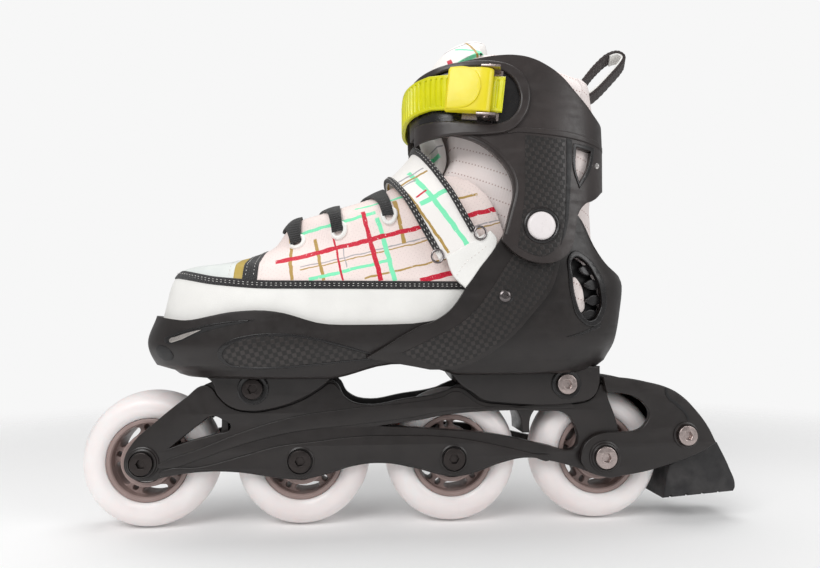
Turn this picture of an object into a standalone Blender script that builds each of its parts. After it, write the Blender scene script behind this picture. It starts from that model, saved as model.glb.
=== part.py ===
"""A left-foot inline fitness skate with four wheels, a hinged cuff, a ratchet buckle and a heel brake.

Lengths are written in millimetres and scaled to metres by MM. +Z is up, the toe points to -X
and the outer (buckle) side faces -Y. The skate stands on its wheels at z = 0. The layout is
drawn from the middle of the wheelbase; SHIFT then puts the origin under the whole skate's middle.
"""
import math

import bmesh
import bpy
from mathutils import Matrix, Vector
from mathutils.bvhtree import BVHTree

MM = 0.001

# ---- driving dimensions, in millimetres ----
WHEEL_RADIUS = 36.0
WHEEL_WIDTH = 24.0
WHEEL_PITCH = 80.5
WHEEL_COUNT = 4
TREAD_FLAT = 5.0                # worn band that rolls on the ground
CORE_RADIUS = 21.8              # where tyre and hub core meet
CORE_WIDTH = 20.0
HUB_RADIUS = 13.6
SPOKE_PAIRS = 5

BEARING_RADIUS = 11.0           # standard 608 bearing
BEARING_WIDTH = 7.0
BEARING_MIDDLE = 7.6            # from the wheel's middle plane
BORE_RADIUS = 4.0
AXLE_RADIUS = 3.9
AXLE_HEAD_RADIUS = 6.0

FRAME_INNER = 13.0              # each side plate, measured from the middle plane
FRAME_TAB = 16.4
FRAME_OUTER = 18.0
BRAKE_INNER = 18.3
BRAKE_OUTER = 21.6
BLOCK_OUTER = 20.6              # mounting blocks under the shell

SHELL_THICKNESS = 3.0
UPPER_INSET = 3.4               # the upper's outside, inside the boot form
UPPER_THICKNESS = 2.2
LINER_INSET = 7.6
LINER_THICKNESS = 4.5
LINER_CORNER = 12.0             # how far its cut-back front and rear corners round off
ARM_THICKNESS = 2.6
CUFF_THICKNESS = 3.0
INSOLE_TOP = 98.6
INSOLE_THICKNESS = 3.2
INSOLE_HEEL = 103.0
GAP = 0.3                       # clearance between pieces that touch

ANKLE = (82.7, 156.0)           # x, z of the cuff's hinge
RIVET_CAP_RADIUS = 7.2
CUFF_MIDDLE_X = 74.0
CUFF_ROUNDNESS = 2.8
STRAP_Z = 228.0                 # buckle strap's middle line
SHIFT = Vector((-19.3, 4.1, 0.0))

# Boot form, the outside of the hard shell: height, toe end, heel end, half widths fore and aft.
BOOT_FORM = [
    (78, -100, 124, 35, 29),
    (86, -119, 127, 41, 32),
    (98, -123.8, 133.5, 44, 35),
    (112, -119.5, 136.5, 44, 36),
    (128, -116, 138.5, 42.5, 36.5),
    (134, -113, 136.5, 40, 36.7),
    (137.5, -108, 135, 38, 36.8),
    (140, -91, 134, 36.5, 37),
    (143, -77, 133, 35.5, 37),
    (146, -68, 132, 35, 37),
    (150, -61, 131, 34.5, 37),
    (163, -51, 130, 34, 37),
    (169, -34, 129.8, 34, 37),
    (176.5, -11, 129.5, 34.5, 37),
    (182, 0, 129.5, 35, 37.5),
    (188, 8, 129.4, 35.5, 38),
    (195, 15, 129.2, 36, 38.5),
    (203, 21, 129, 36.5, 38.7),
    (215, 24, 129, 37, 38.7),
    (240, 25, 127.5, 37, 38.5),
    (262, 34, 122, 35, 36),
]
TOE_RUN = 80.0                  # length over which the toe end rounds off
HEEL_RUN = 46.0
ROUNDNESS = 2.3                 # exponent of the rounded ends

# Cuff outside: height, front, rear, half width.
CUFF_FORM = [
    (130, 20, 128, 45.0),
    (156, 20, 129, 44.6),
    (184, 19, 130.4, 44.2),
    (205, 18, 131.2, 43.6),
    (225, 17.5, 131.0, 42.8),
    (250, 19, 128.0, 41.0),
]

# ---- shapes, in millimetres: (x, z) points of the side view, where a third value 1 is a sharp corner ----
CHARCOAL = (0.045, 0.04, 0.038)
WHITE = (0.8, 0.79, 0.76)
PINK = (0.82, 0.68, 0.66)
BLACK = (0.02, 0.02, 0.02)
YELLOW = (0.75, 0.78, 0.03)
STEEL = (0.55, 0.5, 0.48)
TYRE_WHITE = (0.85, 0.8, 0.8)
CORE_BEIGE = (0.36, 0.29, 0.27)
FRAME_OUTLINE = [
    (-130.2, 36), (-127, 45), (-115, 56.7), (-100, 69), (-87, 77.2), (-80, 78), (-30, 78), (-22.5, 76.4),
    (-17, 68.3), (-8, 64.6), (15, 67.4), (34, 70.6), (43.5, 74.6), (60, 77), (114, 77.5),
    (120.8, 77), (125, 66), (130, 49), (129.5, 33), (121, 26.8), (114, 27.4), (104.8, 30.5),
    (91, 34), (80, 35.6), (66, 33.2), (52, 28.4), (43.1, 26.6), (34.9, 27.1), (20, 31), (3, 34),
    (-12, 32.9), (-28, 28.4), (-40.2, 26.4), (-56, 28), (-71, 30.4), (-92, 31), (-108, 29),
    (-120, 26.8), (-128.3, 30.5)]
FRONT_WINDOW = [
    (-86.5, 59.4), (-81, 57.8), (-76.5, 53.6), (-84, 50.4), (-97, 47), (-107.5, 43.4, 1), (-92.6, 55.4)]
LONG_WINDOW = [
    (1.0, 53.3, 1), (20, 55.8), (38, 58.8), (56, 60.2), (90, 60), (101, 58.6), (106.6, 51), (107.4, 43),
    (104.5, 39.8), (90, 42.2), (70.8, 46.6), (55.6, 49.2), (35, 51), (17.5, 52.4)]
FRONT_NOTCH = [
    (-95, 84, 1), (-86.7, 76.6), (-83.5, 69.6), (-76.5, 63.6), (-67, 61.4), (-56.7, 62.2), (-40, 67.2),
    (-28.5, 74), (-20, 84, 1)]
REAR_NOTCH = [
    (36, 84, 1), (43.5, 74), (50, 69.5), (55, 66), (64, 64.4), (108, 64), (115.8, 66.4), (119.4, 71.5),
    (121, 84, 1)]
BLOCK_BOLT_RADIUS = 2.5
BLOCK_BOLTS = {"front_bolt": (-64.8, 73.6), "rear_bolt": (101.2, 74.6)}
BRAKE_ARM = [
    (121, 25.4), (108.8, 32), (108.6, 40), (113.5, 46), (120.7, 48.6), (128.4, 48.9), (139.2, 50),
    (143.9, 53.5), (145.8, 58.7), (143.5, 63.4), (139, 67), (131.4, 69.3), (122.9, 70, 1), (121.2, 78.2, 1),
    (134, 77.5), (144.8, 75.5), (157.1, 72), (164, 68), (171.4, 60.6), (178, 51.6), (182.3, 42.6, 1),
    (176, 39), (166.4, 35), (154.6, 31.2), (142.9, 28.2), (132, 26.4)]
BRAKE_PAD = [(158.4, 30, 1), (154.6, 12.4, 1), (194.2, 15.4, 1), (195.4, 18), (192.6, 28), (186.4, 41.6, 1),
             (180.6, 40.4), (170.0, 35.6)]
SHELL_TOP = [
    (-125, 112.5), (-97, 110), (-86, 111), (-66, 113.5), (-48, 111.7), (-30, 107), (-10, 106.2), (20, 107),
    (32, 110), (44, 121), (54, 133), (64, 146), (72, 158), (78, 166), (98, 166), (104, 160), (112, 149),
    (122, 139), (140, 130)]
HEEL_VENT = [(100.6, 137), (105, 137.5), (112, 130), (115.6, 120.5), (114.8, 112.5), (109.5, 106.6),
             (104, 110), (100.6, 119), (99.4, 129)]
TRIM_SCREW = (64.6, 120.8)
SMALL_SCREW_RADIUS = 1.8
BRAKE_BOLT = (165.6, 46.9)
BRAKE_BOLT_RADIUS = 2.6
LEVER_PIN_RADIUS = 1.5
LEVER_HALF_WIDTH = 11.3
THROUGH = 60                     # half the length of a cutter that passes right through the boot
ARM_FRONT = [
    (-6, 90.5), (10, 99), (26, 107), (37.5, 116), (46, 127), (54, 138), (62, 149), (68, 160), (82.7, 170)]
ARM_REAR = [
    (26, 84.5), (41, 86), (54.8, 92), (67, 101), (78, 112.5), (87, 126), (92.5, 139), (96.5, 156), (82.7, 170)]
CUFF_OUTLINE = [
    (8, 208.6, 1), (24, 208.6), (36.7, 205.2), (46, 202.2), (53, 198.6), (60.5, 192), (66.7, 183.5),
    (68.8, 174.5), (66.2, 162), (62.6, 148.5, 1), (69.3, 141.9), (77.5, 137.9), (86.7, 137.1), (93.5, 139.5),
    (98.7, 145.1), (101.4, 154.6), (103.5, 163.5), (109, 169.5), (114.5, 172), (121, 177.3), (127.4, 181),
    (140, 184, 1), (140, 214, 1), (131, 214), (119, 216.4), (110, 223.5), (104, 229), (97, 236.3),
    (88.6, 242.2), (80.3, 245.9), (72.2, 247.3), (63.4, 247), (51.5, 245.3), (40, 243.4), (28.5, 241.6),
    (8, 238, 1)]
CUFF_VENT = [(103.2, 198.3, 1), (112.5, 197.3, 1), (110, 188.5), (104.3, 179.2, 1), (102.4, 187)]
STRAP_SCREW = (44.0, 228.0)
STRAP_HALF_WIDTH = 9.2
BUCKLE_SPOT = (49.0, 228.0)
BUCKLE_YAW = math.radians(-14.0)
BUCKLE_TILT = math.radians(7.0)
LEVER_PIN = (8.5, -6.4)          # along the strap and out from the cuff, in the buckle's own frame
LEVER_OUTLINE = [
    (-12, -4.4, 1), (-12.4, -7.0), (-9, -8.4), (0, -9.6), (6, -9.8), (9.6, -8.8), (10.8, -6.6), (9.6, -4.6),
    (6, -4.2), (-4, -4.2)]
RAND_OUTLINE = [(-130, 96, 1), (36, 96, 1), (45, 128, 1), (-61, 128, 1), (-62, 150, 1), (-130, 150, 1)]
QUARTER_OUTLINE = [(-60.4, 128.6, 1), (45.6, 128.6, 1), (62, 150, 1), (66, 172, 1), (30, 177), (7, 184, 1),
                   (2, 196, 1), (-61, 196, 1)]
LINER_LEVELS = [
    (93, 7.6, -130, 140), (106, 7.6, -130, 140), (127, 7.6, -130, 140), (134, 7.6, -130, 140),
    (139, 7.6, -130, 140), (148, 7.6, -130, 140), (161, 7.6, -130, 140), (173, 7.4, -5, 127),
    (184, 5.5, 34, 127), (197, 3.6, 40, 127), (210, 3.4, 39, 126), (228, 3.4, 37, 124), (240, 3.4, 36, 121),
    (250, 3.0, 38, 122.5), (256, 5.5, 41, 119)]
TONGUE_LINE = [
    (25, 191), (29.2, 196), (28.8, 203), (25.2, 212), (23.2, 226), (24.6, 242), (29.5, 256), (38, 266),
    (52, 272.4)]
LOOP_LINE = [(124.8, 240.5), (130.5, 246.5), (138.5, 256.5), (145.6, 265.2), (147, 269.4), (143, 271.4),
             (136.6, 269.2), (129.6, 263.6), (124.6, 258.0)]
LOOP_HALF_WIDTH = 4.5
LOOP_THICKNESS = 2.4
LOOP_LEAN = 0.9                  # how far each edge of the webbing turns in or out of the loop

SKATE = bpy.data.collections.new("inline_skate")
CUTTERS = bpy.data.collections.new("cutters")


# ---------------------------------------------------------------- scene and materials
def clear_scene():
    for item in list(bpy.data.objects):
        bpy.data.objects.remove(item, do_unlink=True)
    for collection in (SKATE, CUTTERS):
        bpy.context.scene.collection.children.link(collection)


def material(name, colour, roughness=0.5, metallic=0.0):
    made = bpy.data.materials.new(name)
    made.use_nodes = True
    shader = made.node_tree.nodes["Principled BSDF"]
    shader.inputs["Base Color"].default_value = (*colour, 1.0)
    shader.inputs["Roughness"].default_value = roughness
    shader.inputs["Metallic"].default_value = metallic
    return made


# ---------------------------------------------------------------- building helpers
def finish(item, colour, roughness=0.5, metallic=0.0):
    """Put an object in the skate's collection with a material of its own."""
    for owner in list(item.users_collection):
        owner.objects.unlink(item)
    SKATE.objects.link(item)
    item.data.materials.clear()
    item.data.materials.append(material(item.name, colour, roughness, metallic))
    item.data.shade_smooth()
    item.data.set_sharp_from_angle(angle=math.radians(35))
    return item


def guide(item):
    """Keep an object as a cutter or a joining piece that is not part of the skate."""
    for owner in list(item.users_collection):
        owner.objects.unlink(item)
    CUTTERS.objects.link(item)
    item.hide_render = True
    item.display_type = "WIRE"
    return item


def mesh_object(name, bm, closed=True):
    if closed:
        bmesh.ops.recalc_face_normals(bm, faces=bm.faces[:])
    mesh = bpy.data.meshes.new(name)
    bm.to_mesh(mesh)
    bm.free()
    item = bpy.data.objects.new(name, mesh)
    CUTTERS.objects.link(item)
    return item


def combine(item, other, operation):
    """Add a Boolean modifier that cuts, joins or intersects with another object."""
    modifier = item.modifiers.new(operation.lower(), "BOOLEAN")
    modifier.operation = operation
    modifier.solver = "EXACT"
    modifier.object = guide(other)


def cut(item, *cutters):
    for cutter in cutters:
        combine(item, cutter, "DIFFERENCE")


def join(item, *pieces):
    for piece in pieces:
        combine(item, piece, "UNION")


def box(name, low, high, bevel=0.0):
    bm = bmesh.new()
    bmesh.ops.create_cube(bm, size=1.0)
    size = Vector(high) - Vector(low)
    middle = (Vector(high) + Vector(low)) / 2
    bmesh.ops.scale(bm, verts=bm.verts[:], vec=size * MM)
    bmesh.ops.translate(bm, verts=bm.verts[:], vec=middle * MM)
    if bevel:
        bmesh.ops.bevel(bm, geom=bm.edges[:], offset=bevel * MM, segments=2, affect="EDGES")
    return mesh_object(name, bm)


def rod(name, x, z, y_from, y_to, radius, steps=20, radius_to=None):
    """A cylinder or cone along Y."""
    bm = bmesh.new()
    far = radius if radius_to is None else radius_to
    bmesh.ops.create_cone(bm, cap_ends=True, segments=steps, radius1=radius * MM,
                          radius2=far * MM, depth=(y_to - y_from) * MM)
    bm.transform(Matrix.Rotation(-math.pi / 2, 4, "X"))
    middle = Vector((x, (y_from + y_to) / 2, z))
    bmesh.ops.translate(bm, verts=bm.verts[:], vec=middle * MM)
    return mesh_object(name, bm)


def turned(name, profile, steps, x, z, y=0.0):
    """Turn a closed profile of (distance along Y, radius) points about an axis along Y."""
    area = sum(a[0] * b[1] - b[0] * a[1] for a, b in zip(profile, profile[1:] + profile[:1]))
    if area < 0:
        profile = profile[::-1]
    bm = bmesh.new()
    corners = [bm.verts.new((radius * MM, 0.0, along * MM)) for along, radius in profile]
    for i, first in enumerate(corners):
        second = corners[(i + 1) % len(corners)]
        if first.co.x > 0.0 or second.co.x > 0.0:
            bm.edges.new((first, second))
    mesh = bpy.data.meshes.new(name)
    bm.to_mesh(mesh)
    bm.free()
    item = bpy.data.objects.new(name, mesh)
    CUTTERS.objects.link(item)
    screw = item.modifiers.new("turn", "SCREW")
    screw.steps = steps
    screw.render_steps = steps
    screw.use_merge_vertices = True
    screw.merge_threshold = 0.00001
    item.rotation_euler = (-math.pi / 2, 0.0, 0.0)
    item.location = Vector((x, y, z)) * MM
    return item


def as_mesh(item):
    """Replace a curve or a modified object by the mesh it evaluates to, in world space."""
    bpy.context.view_layer.update()
    evaluated = item.evaluated_get(bpy.context.evaluated_depsgraph_get())
    mesh = bpy.data.meshes.new_from_object(evaluated)
    mesh.transform(item.matrix_world)
    bm = bmesh.new()
    bm.from_mesh(mesh)
    bpy.data.meshes.remove(mesh)
    bmesh.ops.remove_doubles(bm, verts=bm.verts[:], dist=0.00001)
    name = item.name
    bpy.data.objects.remove(item, do_unlink=True)
    return mesh_object(name, bm)


def plate(name, outline, y_from, y_to, resolution=1):
    """Extrude a side outline of (x, z) points along Y. A third value 1 marks a sharp corner."""
    curve = bpy.data.curves.new(name, "CURVE")
    curve.dimensions = "2D"
    curve.fill_mode = "BOTH"
    curve.extrude = (y_to - y_from) / 2 * MM
    curve.resolution_u = resolution
    spline = curve.splines.new("BEZIER")
    spline.bezier_points.add(len(outline) - 1)
    for point, place in zip(spline.bezier_points, outline):
        point.co = (place[0] * MM, place[1] * MM, 0.0)
        kind = "VECTOR" if len(place) > 2 else "AUTO"
        point.handle_left_type = kind
        point.handle_right_type = kind
    spline.use_cyclic_u = True
    item = bpy.data.objects.new(name, curve)
    CUTTERS.objects.link(item)
    item.rotation_euler = (math.pi / 2, 0.0, 0.0)
    item.location = (0.0, (y_from + y_to) / 2 * MM, 0.0)
    return as_mesh(item)


def sheet(name, rows, thickness, offset=-1.0, ring=False, floor=False):
    """A skin through rows of points, thickened by Solidify. Ring rows meet end to end."""
    bm = bmesh.new()
    grid = [[bm.verts.new(Vector(point) * MM) for point in row] for row in rows]
    last = len(rows[0]) if ring else len(rows[0]) - 1
    for lower, upper in zip(grid, grid[1:]):
        for i in range(last):
            j = (i + 1) % len(lower)
            bm.faces.new((lower[i], lower[j], upper[j], upper[i]))
    if floor:
        edge = grid[0]
        half = len(edge) // 2
        bm.faces.new((edge[0], edge[-1], edge[1]))
        bm.faces.new((edge[half], edge[half - 1], edge[half + 1]))
        for i in range(1, half - 1):
            bm.faces.new((edge[i], edge[-i], edge[-i - 1], edge[i + 1]))
    bmesh.ops.remove_doubles(bm, verts=bm.verts[:], dist=0.00002)
    item = mesh_object(name, bm, closed=False)
    solid = item.modifiers.new("thickness", "SOLIDIFY")
    solid.thickness = thickness * MM
    solid.offset = offset
    return item


def place_at(item, pivot):
    """Move an object's origin to a pivot without moving its shape."""
    item.data.transform(Matrix.Translation(-Vector(pivot) * MM))
    item.location = Vector(pivot) * MM


# ---------------------------------------------------------------- the boot's form
def lerp_rows(rows, z):
    z = min(max(z, rows[0][0]), rows[-1][0])
    for low, high in zip(rows, rows[1:]):
        if z <= high[0]:
            share = (z - low[0]) / (high[0] - low[0])
            return [a + (b - a) * share for a, b in zip(low[1:], high[1:])]
    return list(rows[-1][1:])


def ease(value):
    value = min(max(value, 0.0), 1.0)
    return value * value * (3 - 2 * value)


def half_width(x, z, inset=0.0):
    """Half the boot form's width at a point of its side view."""
    toe, heel, fore, aft = lerp_rows(BOOT_FORM, z)
    toe, heel, fore, aft = toe + inset, heel - inset, fore - inset, aft - inset
    width = fore + (aft - fore) * ease((x + 60) / 120)
    if x < toe + TOE_RUN:
        t = min((toe + TOE_RUN - x) / TOE_RUN, 1.0)
    elif x > heel - HEEL_RUN:
        t = min((x - heel + HEEL_RUN) / HEEL_RUN, 1.0)
    else:
        t = 0.0
    return width * (1 - t ** ROUNDNESS) ** (1 / ROUNDNESS)


def form_ring(z, count, inset=0.0, scale=1.0, lift=0.0):
    """One level outline of the boot form: toe, outer side, heel, inner side."""
    toe, heel = lerp_rows(BOOT_FORM, z + lift)[:2]
    toe, heel = toe + inset, heel - inset
    middle = (toe + heel) / 2
    ring = []
    for i in range(count):
        angle = 2 * math.pi * i / count
        share = math.copysign(abs(math.cos(angle)) ** 0.8, math.cos(angle))
        x = middle - (heel - toe) / 2 * share
        y = half_width(x, z + lift, inset)
        side = -1 if math.sin(angle) > 0 else 1
        if abs(math.sin(angle)) < 1e-6:
            y = 0.0
        ring.append((middle + (x - middle) * scale, side * y * scale, z))
    return ring


def cuff_width(x, z, inset=0.0):
    front, rear, width = lerp_rows(CUFF_FORM, z)
    front, rear, width = front + inset, rear - inset, width - inset
    reach = CUFF_MIDDLE_X - front if x < CUFF_MIDDLE_X else rear - CUFF_MIDDLE_X
    t = min(abs(x - CUFF_MIDDLE_X) / reach, 1.0)
    return width * (1 - t ** CUFF_ROUNDNESS) ** (1 / CUFF_ROUNDNESS)


def cuff_ring(z, count, inset=0.0):
    front, rear = lerp_rows(CUFF_FORM, z)[:2]
    front, rear = front + inset, rear - inset
    ring = []
    for i in range(count):
        angle = 2 * math.pi * i / count
        share = math.copysign(abs(math.cos(angle)) ** 0.85, math.cos(angle))
        reach = CUFF_MIDDLE_X - front if share > 0 else rear - CUFF_MIDDLE_X
        x = CUFF_MIDDLE_X - reach * share
        y = 0.0 if abs(math.sin(angle)) < 1e-6 else cuff_width(x, z, inset)
        ring.append((x, -y if math.sin(angle) > 0 else y, z))
    return ring


# ---------------------------------------------------------------- wheels
def wheel_x(index):
    return (index - (WHEEL_COUNT - 1) / 2) * WHEEL_PITCH


def make_wheel(index):
    x = wheel_x(index)
    z = WHEEL_RADIUS
    label = index + 1
    half = WHEEL_WIDTH / 2
    tyre = turned(f"tyre_{label}", [
        (-TREAD_FLAT / 2, WHEEL_RADIUS), (-8.6, 33.4), (-half, 26.4), (-CORE_WIDTH / 2, CORE_RADIUS),
        (CORE_WIDTH / 2, CORE_RADIUS), (half, 26.4), (8.6, 33.4), (TREAD_FLAT / 2, WHEEL_RADIUS)], 30, x, z)
    finish(tyre, TYRE_WHITE, 0.35)

    rim_inner = CORE_RADIUS - 2.6
    core = as_mesh(turned(f"core_{label}", [
        (-CORE_WIDTH / 2, CORE_RADIUS - 0.15), (-CORE_WIDTH / 2, rim_inner), (-5.0, rim_inner),
        (-5.0, HUB_RADIUS), (-11.6, HUB_RADIUS), (-11.6, BEARING_RADIUS + 0.2),
        (11.6, BEARING_RADIUS + 0.2), (11.6, HUB_RADIUS), (5.0, HUB_RADIUS),
        (5.0, rim_inner), (CORE_WIDTH / 2, rim_inner), (CORE_WIDTH / 2, CORE_RADIUS - 0.15)], 16, x, z))
    for spoke in range(SPOKE_PAIRS):
        angle = math.radians(99 + 72 * spoke + 36)
        opening = plate(f"core_opening_{label}_{spoke}", lens_outline(x, z, angle), -6.0, 6.0, 1)
        cut(core, opening)
    finish(core, CORE_BEIGE, 0.45)
    place_at(core, (x, 0.0, z))

    for side, word in ((-1, "outer"), (1, "inner")):
        middle = side * BEARING_MIDDLE
        low, high = middle - BEARING_WIDTH / 2, middle + BEARING_WIDTH / 2
        bearing = turned(f"bearing_{label}_{word}", [
            (low, BEARING_RADIUS), (low, BORE_RADIUS + 0.08),
            (high, BORE_RADIUS + 0.08), (high, BEARING_RADIUS)], 16, x, z)
        finish(bearing, STEEL, 0.3, 1.0)
    reach = BEARING_MIDDLE - BEARING_WIDTH / 2 - GAP
    spacer = turned(f"spacer_{label}", [
        (-reach, 5.2), (-reach, BORE_RADIUS + 0.08), (reach, BORE_RADIUS + 0.08), (reach, 5.2)], 16, x, z)
    finish(spacer, STEEL, 0.35, 1.0)
    make_axle(label, x, z)


def lens_outline(x, z, angle):
    """A rounded opening between two spoke pairs of the hub core."""
    inner, outer = HUB_RADIUS + 1.2, CORE_RADIUS - 3.4
    points = []
    for radius, turn in ((inner, -0.3), (outer, -0.44), (outer, 0.44), (inner, 0.3)):
        points.append((x + radius * math.cos(angle + turn), z + radius * math.sin(angle + turn), 1))
    return points


def make_axle(label, x, z):
    """A headed sleeve from the outer side and a headed screw that closes it on the inner side."""
    face = BRAKE_OUTER if label == WHEEL_COUNT else FRAME_OUTER
    head = face + GAP
    axle = turned(f"axle_{label}", [
        (-head - 2.2, 0.0), (-head - 2.2, 4.6), (-head - 1.6, AXLE_HEAD_RADIUS), (-head, AXLE_HEAD_RADIUS),
        (-head, AXLE_RADIUS), (head - 0.6, AXLE_RADIUS), (head - 0.6, 2.6), (0.0, 2.6), (0.0, 0.0)], 16, x, z)
    finish(axle, STEEL if label == WHEEL_COUNT else CHARCOAL, 0.35, 1.0)
    screw = turned(f"axle_screw_{label}", [
        (head + 2.2, 0.0), (head + 2.2, 4.6), (head + 1.6, AXLE_HEAD_RADIUS), (head, AXLE_HEAD_RADIUS),
        (head, 2.4), (1.0, 2.4), (1.0, 0.0)], 12, x, z)
    finish(screw, STEEL, 0.35, 1.0)


# ---------------------------------------------------------------- chassis


def block_outline(notch):
    """A mounting block's side view: the frame's notch with a small margin, seen from inside."""
    left, right = notch[0][0], notch[-1][0]
    middle = (left + right) / 2
    inner = []
    for place in notch[1:-1]:
        lean = 1.0 if place[0] < middle else -1.0
        inner.append((place[0] + 0.6 * lean, place[1] + 0.8))
    return inner


def make_frame():
    frame = plate("frame", FRAME_OUTLINE, -FRAME_OUTER, FRAME_OUTER)
    cut(frame, box("frame_channel", (-140, -FRAME_INNER, 20), (140, FRAME_INNER, 90)))
    for name, window in (("front_window", FRONT_WINDOW), ("long_window", LONG_WINDOW)):
        cut(frame, plate(name, window, -30, 30))
    webs = []
    for index, top in ((0, 68.0), (1, 62.0), (2, 62.0)):
        x = (wheel_x(index) + wheel_x(index + 1)) / 2
        web = plate(f"frame_web_{index}", [
            (x - 1.8, 48, 1), (x + 1.8, 48, 1), (x + 5.5, top - 2, 1), (x + 5.5, top, 1),
            (x - 5.5, top, 1), (x - 5.5, top - 2, 1)], -FRAME_INNER - 1, FRAME_INNER + 1)
        webs.append(web)
    join(frame, *webs)
    for side in (-1, 1):
        near, far = sorted((side * FRAME_TAB, side * (FRAME_OUTER + 2)))
        for name, notch in (("front_notch", FRONT_NOTCH), ("rear_notch", REAR_NOTCH)):
            cut(frame, plate(f"{name}_{side}", notch, near, far))
    for index in range(WHEEL_COUNT):
        cut(frame, rod(f"axle_hole_{index}", wheel_x(index), WHEEL_RADIUS, -30, 30, AXLE_RADIUS + GAP))
    for label, (x, z) in BLOCK_BOLTS.items():
        cut(frame, rod(f"{label}_hole", x, z, -30, 30, BLOCK_BOLT_RADIUS + GAP, 16))
    finish(frame, CHARCOAL, 0.55)


def make_block_bolts():
    for label, (x, z) in BLOCK_BOLTS.items():
        for side, word in ((-1, "outer"), (1, "inner")):
            face = BLOCK_OUTER + GAP
            profile = [
                (side * (face + 1.8), 0.0), (side * (face + 1.8), 4.6), (side * (face + 1.2), 5.4),
                (side * face, 5.4), (side * face, BLOCK_BOLT_RADIUS), (side * 12.6, BLOCK_BOLT_RADIUS),
                (side * 12.6, 0.0)]
            bolt = turned(f"{label}_{word}", profile, 18, x, z)
            finish(bolt, STEEL if label == "rear_bolt" else CHARCOAL, 0.4, 1.0)


# ---------------------------------------------------------------- heel brake


def make_brake():
    housing = plate("brake_housing", BRAKE_ARM, -BRAKE_OUTER, BRAKE_OUTER)
    cut(housing, box("brake_channel", (100, -BRAKE_INNER, 20), (160.5, BRAKE_INNER, 73.8)))
    cut(housing, box("brake_front_channel", (100, -BRAKE_INNER, 20), (128.5, BRAKE_INNER, 90)))
    cut(housing, rod("brake_axle_hole", wheel_x(3), WHEEL_RADIUS, -30, 30, AXLE_RADIUS + GAP))
    cut(housing, plate("brake_pad_seat", [
        (154, 20, 1), (154, 33, 1), (170, 38.2, 1), (178, 42, 1), (182, 48, 1), (190, 48, 1), (190, 20, 1)],
        -16.0, 16.0))
    cut(housing, rod("brake_bolt_hole", *BRAKE_BOLT, -30, 30, BRAKE_BOLT_RADIUS + GAP))
    finish(housing, CHARCOAL, 0.55)

    pad = plate("brake_pad", BRAKE_PAD, -15.4, 15.4)
    finish(pad, (0.03, 0.03, 0.03), 0.8)

    face = BRAKE_OUTER + GAP
    bolt = turned("brake_bolt", [
        (-face - 1.8, 0.0), (-face - 1.8, 4.4), (-face - 1.2, 5.2), (-face, 5.2), (-face, BRAKE_BOLT_RADIUS),
        (face, BRAKE_BOLT_RADIUS), (face, 4.4), (face + 3.0, 4.4), (face + 3.0, 0.0)], 14, *BRAKE_BOLT)
    finish(bolt, STEEL, 0.35, 1.0)


# ---------------------------------------------------------------- hard shell, arms and cuff


def shell_top(x):
    return lerp_rows(SHELL_TOP, x)[0]


def sole_height(x):
    """Underside of the sole: level under the toe, arched at the instep, level under the heel."""
    return 79.0 + 7.0 * ease((x + 26) / 34) - 6.0 * ease((x - 26) / 16)


def make_shell():
    count, levels = 36, 6
    rows = []
    for scale, rise in ((0.5, 0.0), (0.86, 0.0), (0.955, 1.4)):
        ring = form_ring(82, count, scale=scale)
        rows.append([(x, y, sole_height(x) + rise) for x, y, _ in ring])
    for level in range(levels):
        share = level / (levels - 1)
        row = []
        for i in range(count):
            x_mid = form_ring(100, count)[i][0]
            low = sole_height(x_mid) + 6.0
            z = low + (shell_top(x_mid) - low) * share ** 1.15
            row.append((*form_ring(z, count)[i][:2], z))
        rows.append(row)
    shell = as_mesh(sheet("shell", rows, SHELL_THICKNESS, ring=True, floor=True))
    for notch, name in ((FRONT_NOTCH, "front_block"), (REAR_NOTCH, "rear_block")):
        outline = block_outline(notch)
        top = 84.0 if name == "front_block" else 86.0
        outline = [(outline[0][0], top, 1)] + outline + [(outline[-1][0], top, 1)]
        block = plate(name, outline, -BLOCK_OUTER, BLOCK_OUTER)
        join(shell, block)
    slot = FRAME_TAB + GAP
    cut(shell, box("frame_slot", (-140, -slot, 40), (140, slot, 78.6)))
    for side in (-1, 1):
        near, far = sorted((side * 20, side * 60))
        vent = plate(f"heel_vent_{side}", HEEL_VENT, near, far)
        cut(shell, vent)
    cut(shell, rod("ankle_hole", *ANKLE, -THROUGH, THROUGH, BORE_RADIUS + 0.1, 24))
    cut(shell, rod("trim_screw_hole", *TRIM_SCREW, -THROUGH, THROUGH, SMALL_SCREW_RADIUS + GAP, 12))
    for label, (x, z) in BLOCK_BOLTS.items():
        cut(shell, rod(f"{label}_shell_hole", x, z, -30, 30, BLOCK_BOLT_RADIUS + GAP, 16))
    for modifier in shell.modifiers:
        modifier.solver = "MANIFOLD"
    finish(shell, CHARCOAL, 0.5)


def spread(points, count):
    """Even steps along a smooth line through points."""
    result = []
    for k in range(count):
        place = k / (count - 1) * (len(points) - 1)
        i = min(int(place), len(points) - 2)
        t = place - i
        p0, p1 = points[max(i - 1, 0)], points[i]
        p2, p3 = points[i + 1], points[min(i + 2, len(points) - 1)]
        result.append(tuple(
            0.5 * (2 * b + (c - a) * t + (2 * a - 5 * b + 4 * c - d) * t * t
                   + (3 * b - a - 3 * c + d) * t ** 3)
            for a, b, c, d in zip(p0, p1, p2, p3)))
    return result


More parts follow.
